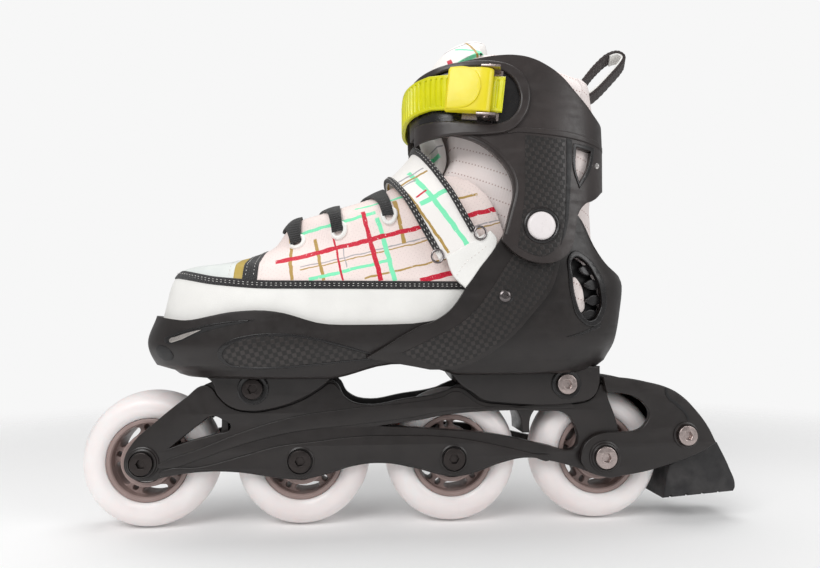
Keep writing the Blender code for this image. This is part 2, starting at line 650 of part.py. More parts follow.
def make_arms():
    for side, word in ((-1, "outer"), (1, "inner")):
        rows = []
        for front, rear in zip(spread(ARM_FRONT, 17), spread(ARM_REAR, 17)):
            row = []
            for step in range(5):
                share = step / 4
                x = front[0] + (rear[0] - front[0]) * share
                z = front[1] + (rear[1] - front[1]) * share
                row.append((x, side * (half_width(x, z) + GAP + 0.1), z))
            rows.append(row)
        arm = as_mesh(sheet(f"ankle_arm_{word}", rows, ARM_THICKNESS, offset=-side))
        cut(arm, rod(f"arm_ankle_hole_{word}", *ANKLE, -THROUGH, THROUGH, BORE_RADIUS + 0.1, 24))
        cut(arm, rod(f"arm_screw_hole_{word}", *TRIM_SCREW, -THROUGH, THROUGH, SMALL_SCREW_RADIUS + GAP, 12))
        finish(arm, CHARCOAL, 0.5)

        face = half_width(*TRIM_SCREW) + GAP + 0.1 + ARM_THICKNESS + GAP
        profile = [
            (side * (face + 1.4), 0.0), (side * (face + 1.0), 3.0), (side * face, 3.7),
            (side * face, SMALL_SCREW_RADIUS), (side * (face - 7.4), SMALL_SCREW_RADIUS),
            (side * (face - 7.4), 0.0)]
        screw = turned(f"trim_screw_{word}", profile, 14, *TRIM_SCREW)
        finish(screw, STEEL, 0.35, 1.0)

        face = cuff_width(*ANKLE) + GAP
        profile = [
            (side * (face + 1.6), 0.0), (side * (face + 1.4), 4.0), (side * (face + 0.7), RIVET_CAP_RADIUS),
            (side * face, RIVET_CAP_RADIUS), (side * face, BORE_RADIUS), (side * 33.4, BORE_RADIUS),
            (side * 33.4, 6.0), (side * 32.0, 6.0), (side * 32.0, 0.0)]
        rivet = turned(f"ankle_rivet_{word}", profile, 20, *ANKLE)
        finish(rivet, WHITE, 0.3)


def make_cuff():
    rows = [cuff_ring(z, 36) for z in (128, 145, 162, 180, 198, 216, 233, 250)]
    cuff = as_mesh(sheet("cuff", rows, CUFF_THICKNESS, ring=True))
    combine(cuff, plate("cuff_outline", CUFF_OUTLINE, -THROUGH, THROUGH, 2), "INTERSECT")
    cut(cuff, box("cuff_front_gap", (0, -11, 190), (45, 11, 260)))
    for side in (-1, 1):
        near, far = sorted((side * 25, side * 60))
        cut(cuff, plate(f"cuff_vent_{side}", CUFF_VENT, near, far))
    cut(cuff, rod("cuff_ankle_hole", *ANKLE, -THROUGH, THROUGH, BORE_RADIUS + 0.1, 24))
    cut(cuff, rod("strap_screw_hole", *STRAP_SCREW, 20, THROUGH, SMALL_SCREW_RADIUS + GAP, 12))
    finish(cuff, CHARCOAL, 0.5)


# ---------------------------------------------------------------- buckle and its strap


def buckle_frame():
    """The buckle's own frame: X back along the strap, -Y out of the cuff, Z across the strap."""
    x, z = BUCKLE_SPOT
    spot = Vector((x, -cuff_width(x, z) - 0.9, z)) * MM
    turn = Matrix.Rotation(BUCKLE_YAW, 4, "Z") @ Matrix.Rotation(BUCKLE_TILT, 4, "Y")
    return Matrix.Translation(spot) @ turn


def into_buckle(item):
    item.data.transform(buckle_frame())
    return item


def plan_plate(name, outline, z_from, z_to, resolution=3):
    """Extrude a top-view outline of (x, y) points along Z."""
    item = plate(name, [(p[0], p[1], *p[2:]) for p in outline], z_from, z_to, resolution)
    item.data.transform(Matrix.Rotation(-math.pi / 2, 4, "X"))
    return item


def make_buckle():
    base = box("buckle_base", (-4, -1.2, -13.2), (15, 0, 13.2), 0.4)
    for side in (-1, 1):
        low, high = sorted((side * 11.7, side * 13.2))
        ear = box(f"buckle_ear_{side}", (4, -9.4, low), (14, -0.6, high), 0.3)
        join(base, ear)
    pin_x, pin_y = LEVER_PIN
    cut(base, upright_rod("pin_hole", pin_x, pin_y, -20, 20, LEVER_PIN_RADIUS + 0.1))
    base = as_mesh(base)
    into_buckle(base)
    finish(base, STEEL, 0.35, 1.0)

    pin = upright_rod("lever_pin", pin_x, pin_y, -13.9, 13.9, LEVER_PIN_RADIUS)
    into_buckle(pin)
    finish(pin, STEEL, 0.3, 1.0)

    lever = plan_plate("buckle_lever", LEVER_OUTLINE, -LEVER_HALF_WIDTH, LEVER_HALF_WIDTH)
    edges = lever.modifiers.new("rounded edges", "BEVEL")
    edges.width = 1.0 * MM
    edges.segments = 1
    edges.limit_method = "ANGLE"
    edges.angle_limit = math.radians(50)
    cut(lever, upright_rod("lever_hole", pin_x, pin_y, -20, 20, LEVER_PIN_RADIUS + 0.1))
    lever = as_mesh(lever)
    into_buckle(lever)
    finish(lever, YELLOW, 0.35)
    pivot = buckle_frame() @ (Vector((pin_x, pin_y, 0.0)) * MM)
    place_at(lever, pivot / MM)


def upright_rod(name, x, y, z_from, z_to, radius, steps=12):
    bm = bmesh.new()
    bmesh.ops.create_cone(bm, cap_ends=True, segments=steps, radius1=radius * MM,
                          radius2=radius * MM, depth=(z_to - z_from) * MM)
    bmesh.ops.translate(bm, verts=bm.verts[:], vec=Vector((x, y, (z_from + z_to) / 2)) * MM)
    return mesh_object(name, bm)


def cuff_wrap(out, from_share, to_share, count):
    """Points round the front of the cuff at a distance from it, outer side to inner side."""
    front, rear, width = lerp_rows(CUFF_FORM, STRAP_Z)
    front, width = front - out, width + out
    points = []
    for i in range(count):
        angle = from_share + (to_share - from_share) * i / (count - 1)
        across, along = math.sin(angle), math.cos(angle)
        y = -width * math.copysign(abs(across) ** (2 / CUFF_ROUNDNESS), across)
        x = CUFF_MIDDLE_X - (CUFF_MIDDLE_X - front) * abs(along) ** (2 / CUFF_ROUNDNESS)
        points.append((x, y))
    return points


def make_ladder_strap():
    """The ribbed strap: fixed on the inner side, round the front, under the lever on the outer side."""
    frame = buckle_frame()
    rows = []
    for x_along in (16.5, 12, 6, 0, -6, -12):
        middle = frame @ (Vector((x_along, -1.9, 0.0)) * MM) / MM
        up = (frame.to_3x3() @ Vector((0, 0, 1))).normalized()
        rows.append([tuple(middle + up * s * STRAP_HALF_WIDTH) for s in (-1, 0, 1)])
    for x, y in cuff_wrap(1.2, math.radians(44), math.radians(-62), 15):
        rows.append([(x, y, STRAP_Z + s * STRAP_HALF_WIDTH) for s in (-1, 0, 1)])
    strap = as_mesh(sheet("ladder_strap", rows, 1.8, offset=1.0))
    x, z = STRAP_SCREW
    cut(strap, rod("strap_hole", x, z, 20, THROUGH, SMALL_SCREW_RADIUS + GAP, 12))
    finish(strap, YELLOW, 0.4)

    face = cuff_width(x, z) + 4.6
    screw = as_mesh(turned("strap_screw", [
        (face + 1.4, 0.0), (face + 1.2, 3.2), (face, 4.2), (face, SMALL_SCREW_RADIUS),
        (face - 9.4, SMALL_SCREW_RADIUS), (face - 9.4, 0.0)], 14, x, z))
    finish(screw, STEEL, 0.35, 1.0)


# ---------------------------------------------------------------- soft upper, liner and closures
def skin_rows(levels, count, inset, lift=None):
    lift = lift or (lambda z: 0.0)
    return [form_ring(z, count, inset=inset, lift=lift(z)) for z in levels]


def form_tree():
    """A search tree of the boot form's surface, for straps and laces that lie on it."""
    levels = [78 + 2.0 * k for k in range(93)]
    rows = [form_ring(z, 72) for z in levels]
    points = [Vector(point) for row in rows for point in row]
    faces = []
    for r in range(len(rows) - 1):
        for i in range(72):
            j = (i + 1) % 72
            faces.append((r * 72 + i, r * 72 + j, r * 72 + 72 + j, r * 72 + 72 + i))
    return BVHTree.FromPolygons(points, faces)


def make_upper():
    """Toe rand and quarter: one skin over the foot, divided along the piping line."""
    levels = [88, 108, 128, 134, 137.5, 140, 143, 146, 150, 157, 163, 169, 176.5, 182, 188, 203]
    for name, outline, colour in (("toe_rand", RAND_OUTLINE, WHITE), ("quarter", QUARTER_OUTLINE, PINK)):
        rows = skin_rows(levels, 32, UPPER_INSET)
        skin = as_mesh(sheet(name, rows, UPPER_THICKNESS, ring=True))
        combine(skin, plate(f"{name}_outline", outline, -THROUGH, THROUGH, 2), "INTERSECT")
        finish(skin, colour, 0.6)


def make_liner():
    """The padded inner boot, open at the top for the foot and cut back for the tongue."""
    rows = []
    for z, inset, front, rear in LINER_LEVELS:
        ring = form_ring(z, 24, inset=inset, lift=5.5 * ease((z - 120) / 20) * ease((215 - z) / 20))
        widest = max(y for _, y, _ in ring)
        row = []
        for x, y, _ in ring:
            corner = LINER_CORNER * (abs(y) / widest) ** 4
            row.append((min(max(x, front + corner), rear - corner), y, z))
        rows.append(row)
    first = form_ring(88, 24, inset=LINER_INSET, scale=0.9)
    rows.insert(0, [(x, y, 90.2) for x, y, _ in first])
    liner = sheet("liner", rows, LINER_THICKNESS, ring=True, floor=True)
    finish(as_mesh(liner), PINK, 0.8)


def make_insole():
    bm = bmesh.new()
    outline = form_ring(98, 40, inset=LINER_INSET + LINER_THICKNESS + 5.6)
    outline = [(min(x, INSOLE_HEEL), y) for x, y, _ in outline]
    low = [bm.verts.new(Vector((x, y, INSOLE_TOP - INSOLE_THICKNESS)) * MM) for x, y in outline]
    high = [bm.verts.new(Vector((x, y, INSOLE_TOP)) * MM) for x, y in outline]
    bm.faces.new(list(reversed(low)))
    bm.faces.new(high)
    for i in range(len(low)):
        j = (i + 1) % len(low)
        bm.faces.new((low[i], low[j], high[j], high[i]))
    insole = mesh_object("insole", bm)
    finish(insole, (0.2, 0.2, 0.2), 0.8)


def make_tongue():
    rows = []
    for k, (x, z) in enumerate(spread(TONGUE_LINE, 15)):
        reach = 15 + 13 * k / 14
        flare = 4.5 + 12 * (k / 14) ** 4
        row = []
        for step in range(7):
            share = step / 3 - 1
            sag = flare * share * share
            row.append((x + sag * 0.9 + 0.6, share * reach, z - sag * 0.35))
        rows.append(row)
    tongue = sheet("tongue", rows, 4.2, offset=1.0)
    finish(as_mesh(tongue), WHITE, 0.6)


def wrap_rows(tree, start, axis, up, widths, angles, lift):
    """Rows of points where rays from an axis inside the boot leave its surface."""
    rows = []
    for width in widths:
        row = []
        for angle in angles:
            origin = Vector(start) + Vector(axis) * width
            ray = Vector(up) * math.cos(angle) + Vector((0, 1, 0)) * math.sin(angle)
            spot = tree.ray_cast(origin, ray.normalized())[0]
            row.append(tuple(spot + ray.normalized() * lift))
        rows.append(row)
    return rows


def make_instep_strap(tree):
    """The cloth strap over the instep, from a ring on the outer side to the inner side."""
    axis = Vector((0.877, 0.0, 0.48)).normalized()
    up = Vector((-0.48, 0.0, 0.877)).normalized()
    widths = [-13.5, -7.5, -1.5, 4.5, 10.5]
    angles = [math.radians(a) for a in range(-98, 113, 14)]
    rows = wrap_rows(tree, (33.5, 0.0, 163.0), axis, up, widths, angles, 0.5)
    strap = sheet("instep_strap", rows, 2.4)
    finish(as_mesh(strap), WHITE, 0.6)


def make_laces(tree):
    """Three flat laces that cross the throat from eyelet to eyelet."""
    for number, (x, z) in enumerate(((-47, 140), (-26, 145), (-2, 150)), 1):
        rows = []
        for width in (-2.8, 0, 2.8):
            row = []
            for step in range(-5, 6):
                angle = math.radians(step * 11)
                lean = 7.0 * abs(step) / 5
                ray = Vector((0, math.sin(angle), math.cos(angle)))
                spot = tree.ray_cast(Vector((x + width - 6 + lean, 0, z - 16)), ray)[0]
                row.append(tuple(spot + ray * 0.1))
            rows.append(row)
        lace = sheet(f"lace_{number}", rows, 1.3)
        finish(as_mesh(lace), BLACK, 0.8)


def make_pull_loop():
    """A webbing loop sewn to the back of the liner's collar."""
    line = spread(LOOP_LINE, 21)
    rows = []
    for k, (x, z) in enumerate(line):
        before, after = line[max(k - 1, 0)], line[min(k + 1, len(line) - 1)]
        ahead = Vector((after[0] - before[0], after[1] - before[1])).normalized()
        lean = Vector((ahead.y, -ahead.x)) * LOOP_LEAN
        rows.append([(x + lean.x, -LOOP_HALF_WIDTH, z + lean.y), (x - lean.x, LOOP_HALF_WIDTH, z - lean.y)])
    loop = sheet("pull_loop", rows, LOOP_THICKNESS, offset=0.0)
    finish(as_mesh(loop), BLACK, 0.8)


def hinge_origins():
    """The pieces that move with the cuff get their origins on its hinge."""
    bpy.context.view_layer.update()
    pivot = Matrix.Translation(Vector((ANKLE[0], 0.0, ANKLE[1])) * MM)
    for name in ("cuff", "buckle_base", "lever_pin", "ladder_strap", "strap_screw", "pull_loop"):
        item = bpy.data.objects[name]
        item.data.transform(pivot.inverted() @ item.matrix_world)
        item.matrix_world = pivot


def shift_all():
    """Bring the origin under the middle of the whole skate, with the cutters still in place."""
    for collection in (SKATE, CUTTERS):
        for item in collection.objects:
            item.location = item.location + SHIFT * MM


def main():
    clear_scene()
    for index in range(WHEEL_COUNT):
        make_wheel(index)
    make_frame()
    make_block_bolts()
    make_brake()
    make_shell()
    make_arms()
    make_cuff()
    make_buckle()
    make_ladder_strap()
    make_upper()
    make_liner()
    make_insole()
    make_tongue()
    tree = form_tree()
    make_instep_strap(tree)
    make_laces(tree)
    make_pull_loop()
    hinge_origins()
    shift_all()


main()
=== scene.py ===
"""Looks for a left-foot inline fitness skate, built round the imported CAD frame.

Shapes are written in millimetres in the skate's design frame, measured from the middle of the
wheelbase. SHIFT moves them into the row frame, where the origin is under the skate's middle.
Distances along Y are given for one side and mirrored by OUTER and INNER.
"""

import functools
import math

import bmesh
import bpy
from mathutils import Matrix, Vector
from mathutils.bvhtree import BVHTree


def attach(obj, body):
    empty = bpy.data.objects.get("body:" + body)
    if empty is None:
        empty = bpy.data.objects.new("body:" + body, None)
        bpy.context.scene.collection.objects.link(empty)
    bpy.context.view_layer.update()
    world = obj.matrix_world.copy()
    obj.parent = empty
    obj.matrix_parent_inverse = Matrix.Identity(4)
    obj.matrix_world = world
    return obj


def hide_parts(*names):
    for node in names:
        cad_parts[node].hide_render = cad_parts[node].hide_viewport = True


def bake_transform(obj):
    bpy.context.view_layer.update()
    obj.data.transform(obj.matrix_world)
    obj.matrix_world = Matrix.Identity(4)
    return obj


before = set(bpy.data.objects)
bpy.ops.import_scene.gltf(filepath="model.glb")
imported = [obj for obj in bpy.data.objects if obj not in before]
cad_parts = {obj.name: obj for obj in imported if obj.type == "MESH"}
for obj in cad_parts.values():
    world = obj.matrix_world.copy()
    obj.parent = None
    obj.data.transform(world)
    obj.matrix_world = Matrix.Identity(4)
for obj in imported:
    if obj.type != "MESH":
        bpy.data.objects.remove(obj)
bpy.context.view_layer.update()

MM = 0.001
SHIFT = Vector((-19.3, 4.1, 0.0))
OUTER, INNER = -1, 1
SIDES = ((OUTER, "outer"), (INNER, "inner"))

# ---- sizes shared with the CAD part, in millimetres ----
WHEEL_RADIUS = 36.0
WHEEL_X = (-120.75, -40.25, 40.25, 120.75)
REAR_WHEEL = 4
TYRE_HALF, TYRE_CROWN = 12.0, 9.6
AXLE_HOLE = 4.2
CORE_RADIUS = 21.8
FRAME_INNER, FRAME_TAB, FRAME_OUTER = 13.0, 16.4, 18.0
BRAKE_INNER, BRAKE_OUTER = 18.3, 21.6
BLOCK_OUTER = 20.6
SHELL_WALL, ARM_WALL, CUFF_WALL = 3.0, 2.6, 3.0
LINER_WALL, TONGUE_WALL = 4.5, 5.2
UPPER_INSET = 3.4
UPPER_THICKNESS = 2.2
ANKLE = (82.7, 156.0)
TRIM_SCREW = (64.6, 120.8)
CUFF_MIDDLE_X = 74.0
CUFF_ROUNDNESS = 2.8
STRAP_Z = 228.0

# height, toe, heel, half width in front, half width behind
BOOT_FORM = [
    (78, -100, 124, 35, 29), (86, -119, 127, 41, 32), (98, -123.8, 133.5, 44, 35),
    (112, -119.5, 136.5, 44, 36), (128, -116, 138.5, 42.5, 36.5), (134, -113, 136.5, 40, 36.7),
    (137.5, -108, 135, 38, 36.8), (140, -91, 134, 36.5, 37), (143, -77, 133, 35.5, 37),
    (146, -68, 132, 35, 37), (150, -61, 131, 34.5, 37), (163, -51, 130, 34, 37),
    (169, -34, 129.8, 34, 37), (176.5, -11, 129.5, 34.5, 37), (182, 0, 129.5, 35, 37.5),
    (188, 8, 129.4, 35.5, 38), (195, 15, 129.2, 36, 38.5), (203, 21, 129, 36.5, 38.7),
    (215, 24, 129, 37, 38.7), (240, 25, 127.5, 37, 38.5), (262, 34, 122, 35, 36)]
TOE_RUN, HEEL_RUN, ROUNDNESS = 80.0, 46.0, 2.3
# height, front, rear, half width
CUFF_FORM = [
    (130, 20, 126, 45.0), (156, 20, 126, 44.6), (184, 19, 126.6, 44.2), (205, 18, 127.2, 43.6),
    (225, 17.5, 127.0, 42.8), (250, 19, 124.5, 41.0)]


# ================================================================ camera, floor and light
CAMERA_TURN = (3.45, 4.91, -0.26)            # yaw, pitch and roll in degrees
CAMERA_PLACE = (-0.0214, -0.3382, 0.1007)
CAMERA_LENS = 26.49
WORLD_LIGHT = 0.38
FLOOR_FADE = (0.3, 0.75)                     # metres from the middle
# name, place, target, size, power
LIGHTS = (
    ("key", (-0.5, -0.75, 0.75), (0, 0, 0.12), (0.7, 0.5), 6.1),
    ("fill", (0.8, -0.6, 0.45), (0.02, 0, 0.12), (0.5, 0.5), 2.5),
    ("top", (0.0, 0.1, 1.1), (0, 0, 0.1), (0.9, 0.5), 4.6))


def add_object(name, data):
    item = bpy.data.objects.new(name, data)
    bpy.context.scene.collection.objects.link(item)
    return item


def make_camera():
    yaw, pitch, roll = (math.radians(angle) for angle in CAMERA_TURN)
    ahead = Vector((math.sin(yaw) * math.cos(pitch), math.cos(yaw) * math.cos(pitch),
                    math.sin(pitch)))
    right = Vector((math.cos(yaw), -math.sin(yaw), 0.0))
    up = right.cross(ahead)
    turned_right = right * math.cos(roll) + up * math.sin(roll)
    turned_up = up * math.cos(roll) - right * math.sin(roll)
    data = bpy.data.cameras.new("camera")
    data.lens = CAMERA_LENS
    data.sensor_width = 36.0
    data.clip_start = 0.01
    camera = add_object("camera", data)
    matrix = Matrix((turned_right, turned_up, -ahead)).transposed().to_4x4()
    matrix.translation = CAMERA_PLACE
    camera.matrix_world = matrix
    bpy.context.scene.camera = camera


def area_light(name, place, target, size, power):
    data = bpy.data.lights.new(name, "AREA")
    data.shape = "RECTANGLE"
    data.size, data.size_y = size
    data.energy = power
    light = add_object(name, data)
    light.location = place
    towards = Vector(target) - Vector(place)
    light.rotation_euler = towards.to_track_quat("-Z", "Y").to_euler()


def set_inputs(node, **values):
    for name, value in values.items():
        node.inputs[name.replace("_", " ")].default_value = value


def make_floor():
    """A paper floor that fades out round the skate."""
    bm = bmesh.new()
    bmesh.ops.create_grid(bm, x_segments=4, y_segments=4, size=6.0)
    mesh = bpy.data.meshes.new("floor")
    bm.to_mesh(mesh)
    bm.free()
    paper = bpy.data.materials.new("paper")
    paper.use_nodes = True
    nodes, links = paper.node_tree.nodes, paper.node_tree.links
    shader = nodes["Principled BSDF"]
    set_inputs(shader, Base_Color=(0.9, 0.9, 0.9, 1), Roughness=0.9,
               Emission_Color=(1.0, 1.0, 1.0, 1.0), Emission_Strength=0.05)
    place = nodes.new("ShaderNodeTexCoord")
    reach = nodes.new("ShaderNodeVectorMath")
    reach.operation = "LENGTH"
    fade = nodes.new("ShaderNodeMapRange")
    fade.interpolation_type = "SMOOTHSTEP"
    set_inputs(fade, From_Min=FLOOR_FADE[0], From_Max=FLOOR_FADE[1], To_Min=1.0, To_Max=0.0)
    links.new(place.outputs["Object"], reach.inputs[0])
    links.new(reach.outputs["Value"], fade.inputs["Value"])
    links.new(fade.outputs[0], shader.inputs["Alpha"])
    mesh.materials.append(paper)
    add_object("floor", mesh)


def make_world():
    """An even light grey, which lights the skate less than it shows to the camera."""
    world = bpy.data.worlds.new("studio")
    world.use_nodes = True
    nodes, links = world.node_tree.nodes, world.node_tree.links
    backdrop = nodes["Background"]
    set_inputs(backdrop, Color=(0.93, 0.93, 0.93, 1))
    rays = nodes.new("ShaderNodeLightPath")
    level = nodes.new("ShaderNodeMapRange")
    set_inputs(level, To_Min=WORLD_LIGHT, To_Max=1.0)
    links.new(rays.outputs["Is Camera Ray"], level.inputs["Value"])
    links.new(level.outputs[0], backdrop.inputs["Strength"])
    bpy.context.scene.world = world
    bpy.context.scene.view_settings.view_transform = "Standard"


# ================================================================ materials
class Shade:
    """A Principled material with procedural detail, in design millimetres."""

    def __init__(self, name, colour, roughness, metallic=0.0, **sockets):
        self.material = bpy.data.materials.new(name)
        self.material.use_nodes = True
        self.tree = self.material.node_tree
        self.shader = self.tree.nodes["Principled BSDF"]
        set_inputs(self.shader, Base_Color=(*colour, 1.0), Roughness=roughness,
                   Metallic=metallic, **sockets)
        coordinates = self.tree.nodes.new("ShaderNodeTexCoord")
        self.place = coordinates.outputs["Object"]
        split = self.tree.nodes.new("ShaderNodeSeparateXYZ")
        self.tree.links.new(self.place, split.inputs[0])
        self.x = self.math("MULTIPLY_ADD", split.outputs[0], 1000.0, -SHIFT.x)
        self.y = self.math("MULTIPLY_ADD", split.outputs[1], 1000.0, -SHIFT.y)
        self.z = self.math("MULTIPLY", split.outputs[2], 1000.0)

    def feed(self, socket, value):
        if isinstance(value, (int, float)):
            socket.default_value = value
        elif isinstance(value, tuple):
            socket.default_value = (*value, 1.0) if len(value) == 3 else value
        else:
            self.tree.links.new(value, socket)

    def math(self, operation, *values):
        node = self.tree.nodes.new("ShaderNodeMath")
        node.operation = operation
        for socket, value in zip(node.inputs, values):
            self.feed(socket, value)
        return node.outputs[0]

    def noise(self, scale, detail=3.0, stretch=(1, 1, 1)):
        node = self.tree.nodes.new("ShaderNodeTexNoise")
        set_inputs(node, Scale=scale, Detail=detail)
        place = self.place
        if stretch != (1, 1, 1):
            mapping = self.tree.nodes.new("ShaderNodeMapping")
            set_inputs(mapping, Scale=stretch)
            self.tree.links.new(self.place, mapping.inputs["Vector"])
            place = mapping.outputs[0]
        self.tree.links.new(place, node.inputs["Vector"])
        return node.outputs["Fac"]

    def remap(self, value, low, high, out_low, out_high):
        node = self.tree.nodes.new("ShaderNodeMapRange")
        self.feed(node.inputs["Value"], value)
        set_inputs(node, From_Min=low, From_Max=high, To_Min=out_low, To_Max=out_high)
        return node.outputs[0]

    def patches(self, scale, detail=3.0, low=0.35, high=0.7):
        """Noise with flat areas: 0 under low and 1 over high."""
        return self.remap(self.noise(scale, detail), low, high, 0, 1)

    def mix(self, factor, first, second):
        node = self.tree.nodes.new("ShaderNodeMix")
        node.data_type = "RGBA"
        self.feed(node.inputs[0], factor)
        self.feed(node.inputs[6], first)
        self.feed(node.inputs[7], second)
        return node.outputs[2]

    def colour(self, factor, first, second):
        """Colour the piece with two colours mixed by a factor."""
        self.feed(self.shader.inputs["Base Color"], self.mix(factor, first, second))

    def rough(self, value):
        self.feed(self.shader.inputs["Roughness"], value)

    def worn(self, scale, detail, low, high, stretch=(1, 1, 1)):
        """Roughness that drifts between two values."""
        self.rough(self.remap(self.noise(scale, detail, stretch), 0.3, 0.7, low, high))

    def bump(self, height, distance, strength=1.0):
        node = self.tree.nodes.new("ShaderNodeBump")
        set_inputs(node, Distance=distance * MM, Strength=strength)
        self.feed(node.inputs["Height"], height)
        self.tree.links.new(node.outputs[0], self.shader.inputs["Normal"])

    def wave(self, value, period):
        """A smooth wave from -1 to 1 with the given period."""
        return self.math("SINE", self.math("MULTIPLY", value, 2 * math.pi / period))

    def along(self, angle):
        """Distance along a direction in the side view, as an angle above +X in degrees."""
        turn = math.radians(angle)
        first = self.math("MULTIPLY", self.x, math.cos(turn))
        return self.math("MULTIPLY_ADD", self.z, math.sin(turn), first)


def plastic(name, colour, roughness):
    shade = Shade(name, colour, roughness)
    shade.colour(shade.patches(90), colour, tuple(c * 1.4 for c in colour))
    scuffs = shade.remap(shade.noise(35, 6, (1, 1, 6)), 0.55, 0.72, 0, 0.14)
    sheen = shade.remap(shade.noise(260), 0.3, 0.7, roughness - 0.05, roughness + 0.06)
    shade.rough(shade.math("ADD", scuffs, sheen))
    shade.bump(shade.noise(2600, 2), 0.05, 0.45)
    return shade.material


def carbon():
    """A printed check of small rounded cells, alternately matt and satin."""
    shade = Shade("printed_weave", (0.03, 0.027, 0.026), 0.45)
    across = shade.wave(shade.along(12), 4.4)
    up = shade.wave(shade.along(102), 4.4)
    pattern = shade.remap(shade.math("MULTIPLY", across, up), -0.12, 0.22, 0.0, 1.0)
    threads = shade.remap(shade.wave(shade.along(57), 0.55), -1, 1, 0.0, 0.35)
    tone = shade.math("SUBTRACT", pattern, shade.math("MULTIPLY", threads, pattern))
    patchy = shade.remap(shade.noise(45, 3), 0.35, 0.7, 0.35, 1.0)
    shade.colour(shade.math("MULTIPLY", tone, patchy), (0.008, 0.0065, 0.006),
                 (0.042, 0.034, 0.032))
    shade.rough(shade.remap(pattern, 0, 1, 0.5, 0.36))
    shade.bump(pattern, 0.12, 0.5)
    return shade.material


def leather(name, colour, warm, roughness=0.5, weave=0.0):
    shade = Shade(name, colour, roughness)
    shade.colour(shade.patches(60, 4), colour, warm)
    shade.worn(400, 3, roughness - 0.06, roughness + 0.1)
    grain = shade.noise(1500, 4)
    if weave:
        ribs = shade.wave(shade.along(8), weave)
        ribs = shade.math("MULTIPLY_ADD", shade.wave(shade.along(98), weave), 0.5, ribs)
        grain = shade.math("MULTIPLY_ADD", grain, 0.6, shade.math("MULTIPLY", ribs, 0.3))
    shade.bump(grain, 0.12, 0.6)
    return shade


RED = (0.62, 0.0, 0.03)
MINT = (0.22, 0.86, 0.5)
GOLD = (0.46, 0.29, 0.07)
GREY = (0.42, 0.4, 0.42)
CREAM = (0.93, 0.9, 0.87)
BLUSH = (0.9, 0.76, 0.72)
BLUSH_DEEP = (0.84, 0.67, 0.63)


def printed_check(shade, ground, lines):
    """Print brush-drawn lines over a ground colour. A line is x, z, x, z, width, colour."""
    wobble = shade.remap(shade.noise(160, 2), 0.3, 0.7, -0.35, 0.35)
    gaps = shade.remap(shade.noise(700, 3), 0.29, 0.33, 0.0, 1.0)
    colour = ground
    for x1, z1, x2, z2, width, ink in lines:
        run = Vector((x2 - x1, z2 - z1))
        half = run.length / 2
        run.normalize()
        from_x = shade.math("SUBTRACT", shade.x, x1)
        from_z = shade.math("SUBTRACT", shade.z, z1)
        along = shade.math("MULTIPLY_ADD", from_x, run.x, shade.math("MULTIPLY", from_z, run.y))
        across = shade.math("MULTIPLY_ADD", from_z, run.x,
                            shade.math("MULTIPLY", from_x, -run.y))
        away = shade.math("ABSOLUTE", shade.math("ADD", across, wobble))
        inside = shade.remap(away, width / 2, width / 2 + 0.15, 1.0, 0.0)
        beyond = shade.math("ABSOLUTE", shade.math("SUBTRACT", along, half))
        inside = shade.math("MULTIPLY", inside, shade.remap(beyond, half, half + 0.6, 1.0, 0.0))
        colour = shade.mix(shade.math("MULTIPLY", inside, gaps), colour, ink)
    return colour


QUARTER_LINES = [
    (-39, 134, 64, 159.4, 0.5, GOLD), (-39, 135.6, 64, 161, 0.5, GREY),
    (-6.5, 130.1, 66, 148, 0.8, GOLD), (-47, 153.5, -43, 129, 1.6, GOLD),
    (-33.2, 151.5, -27.2, 129, 1.6, GOLD), (8.8, 171.8, 13.6, 148.7, 2.0, GOLD),
    (-34.3, 129, 4.9, 139.3, 1.5, MINT), (-47.1, 153.5, -1.5, 165.2, 1.6, MINT),
    (-0.2, 162.1, 8.7, 129, 2.2, MINT), (38, 158, 43, 129, 1.6, MINT),
    (-23.9, 154.7, -17.7, 129, 0.9, RED), (-7.9, 165.8, 1.6, 129, 2.2, RED),
    (-52, 138.6, 66, 168, 2.3, RED), (22, 129, 40, 133.5, 2.3, RED),
    (-12, 168, 22, 176.5, 0.9, MINT), (30, 176, 34, 190, 1.4, MINT),
    (42, 172, 52, 174.5, 1.2, GOLD), (-18, 146, -16, 136, 0.4, GREY)]
STRAP_LINES = [
    (3, 192, 36, 143, 1.3, GOLD), (16.6, 188, 47, 145, 2.4, MINT),
    (22, 168.2, 38, 177, 2.4, MINT), (10, 182, 24, 190, 0.7, GREY), (12, 180, 26, 188, 1.0, GOLD),
    (20, 172, 25, 176, 0.8, RED), (8, 176, 20, 183, 0.5, GREY)]
TONGUE_LINES = [
    (39.8, 254, 43, 236, 2.0, RED), (24, 239, 56, 256, 2.0, MINT), (20, 204, 31.5, 178, 2.2, RED),
    (16, 190, 34, 200, 2.2, MINT), (14, 208, 30, 178, 1.2, GOLD), (44, 262, 66, 252, 1.3, MINT),
    (34, 262, 60, 268, 0.6, GREY), (50, 268, 58, 246, 1.0, GOLD), (28, 250, 36, 232, 0.8, GREY),
    (16, 196, 36, 206, 0.6, GREY)]


def quarter_leather():
    shade = leather("printed_quarter", CREAM, BLUSH, 0.55, 0.9)
    ground = shade.mix(shade.patches(30, 2, 0.3), (0.91, 0.79, 0.755), BLUSH)
    dots = shade.math("MULTIPLY", shade.wave(shade.along(14), 2.6),
                      shade.wave(shade.along(104), 2.6))
    holes = shade.remap(dots, 0.9, 0.96, 0.0, 0.55)
    shade.colour(holes, printed_check(shade, ground, QUARTER_LINES), (0.5, 0.38, 0.36))
    return shade.material


def checked(name, lines, roughness=0.5):
    shade = leather(name, CREAM, (0.88, 0.84, 0.8), roughness, 0.7)
    shade.feed(shade.shader.inputs["Base Color"], printed_check(shade, CREAM, lines))
    return shade.material


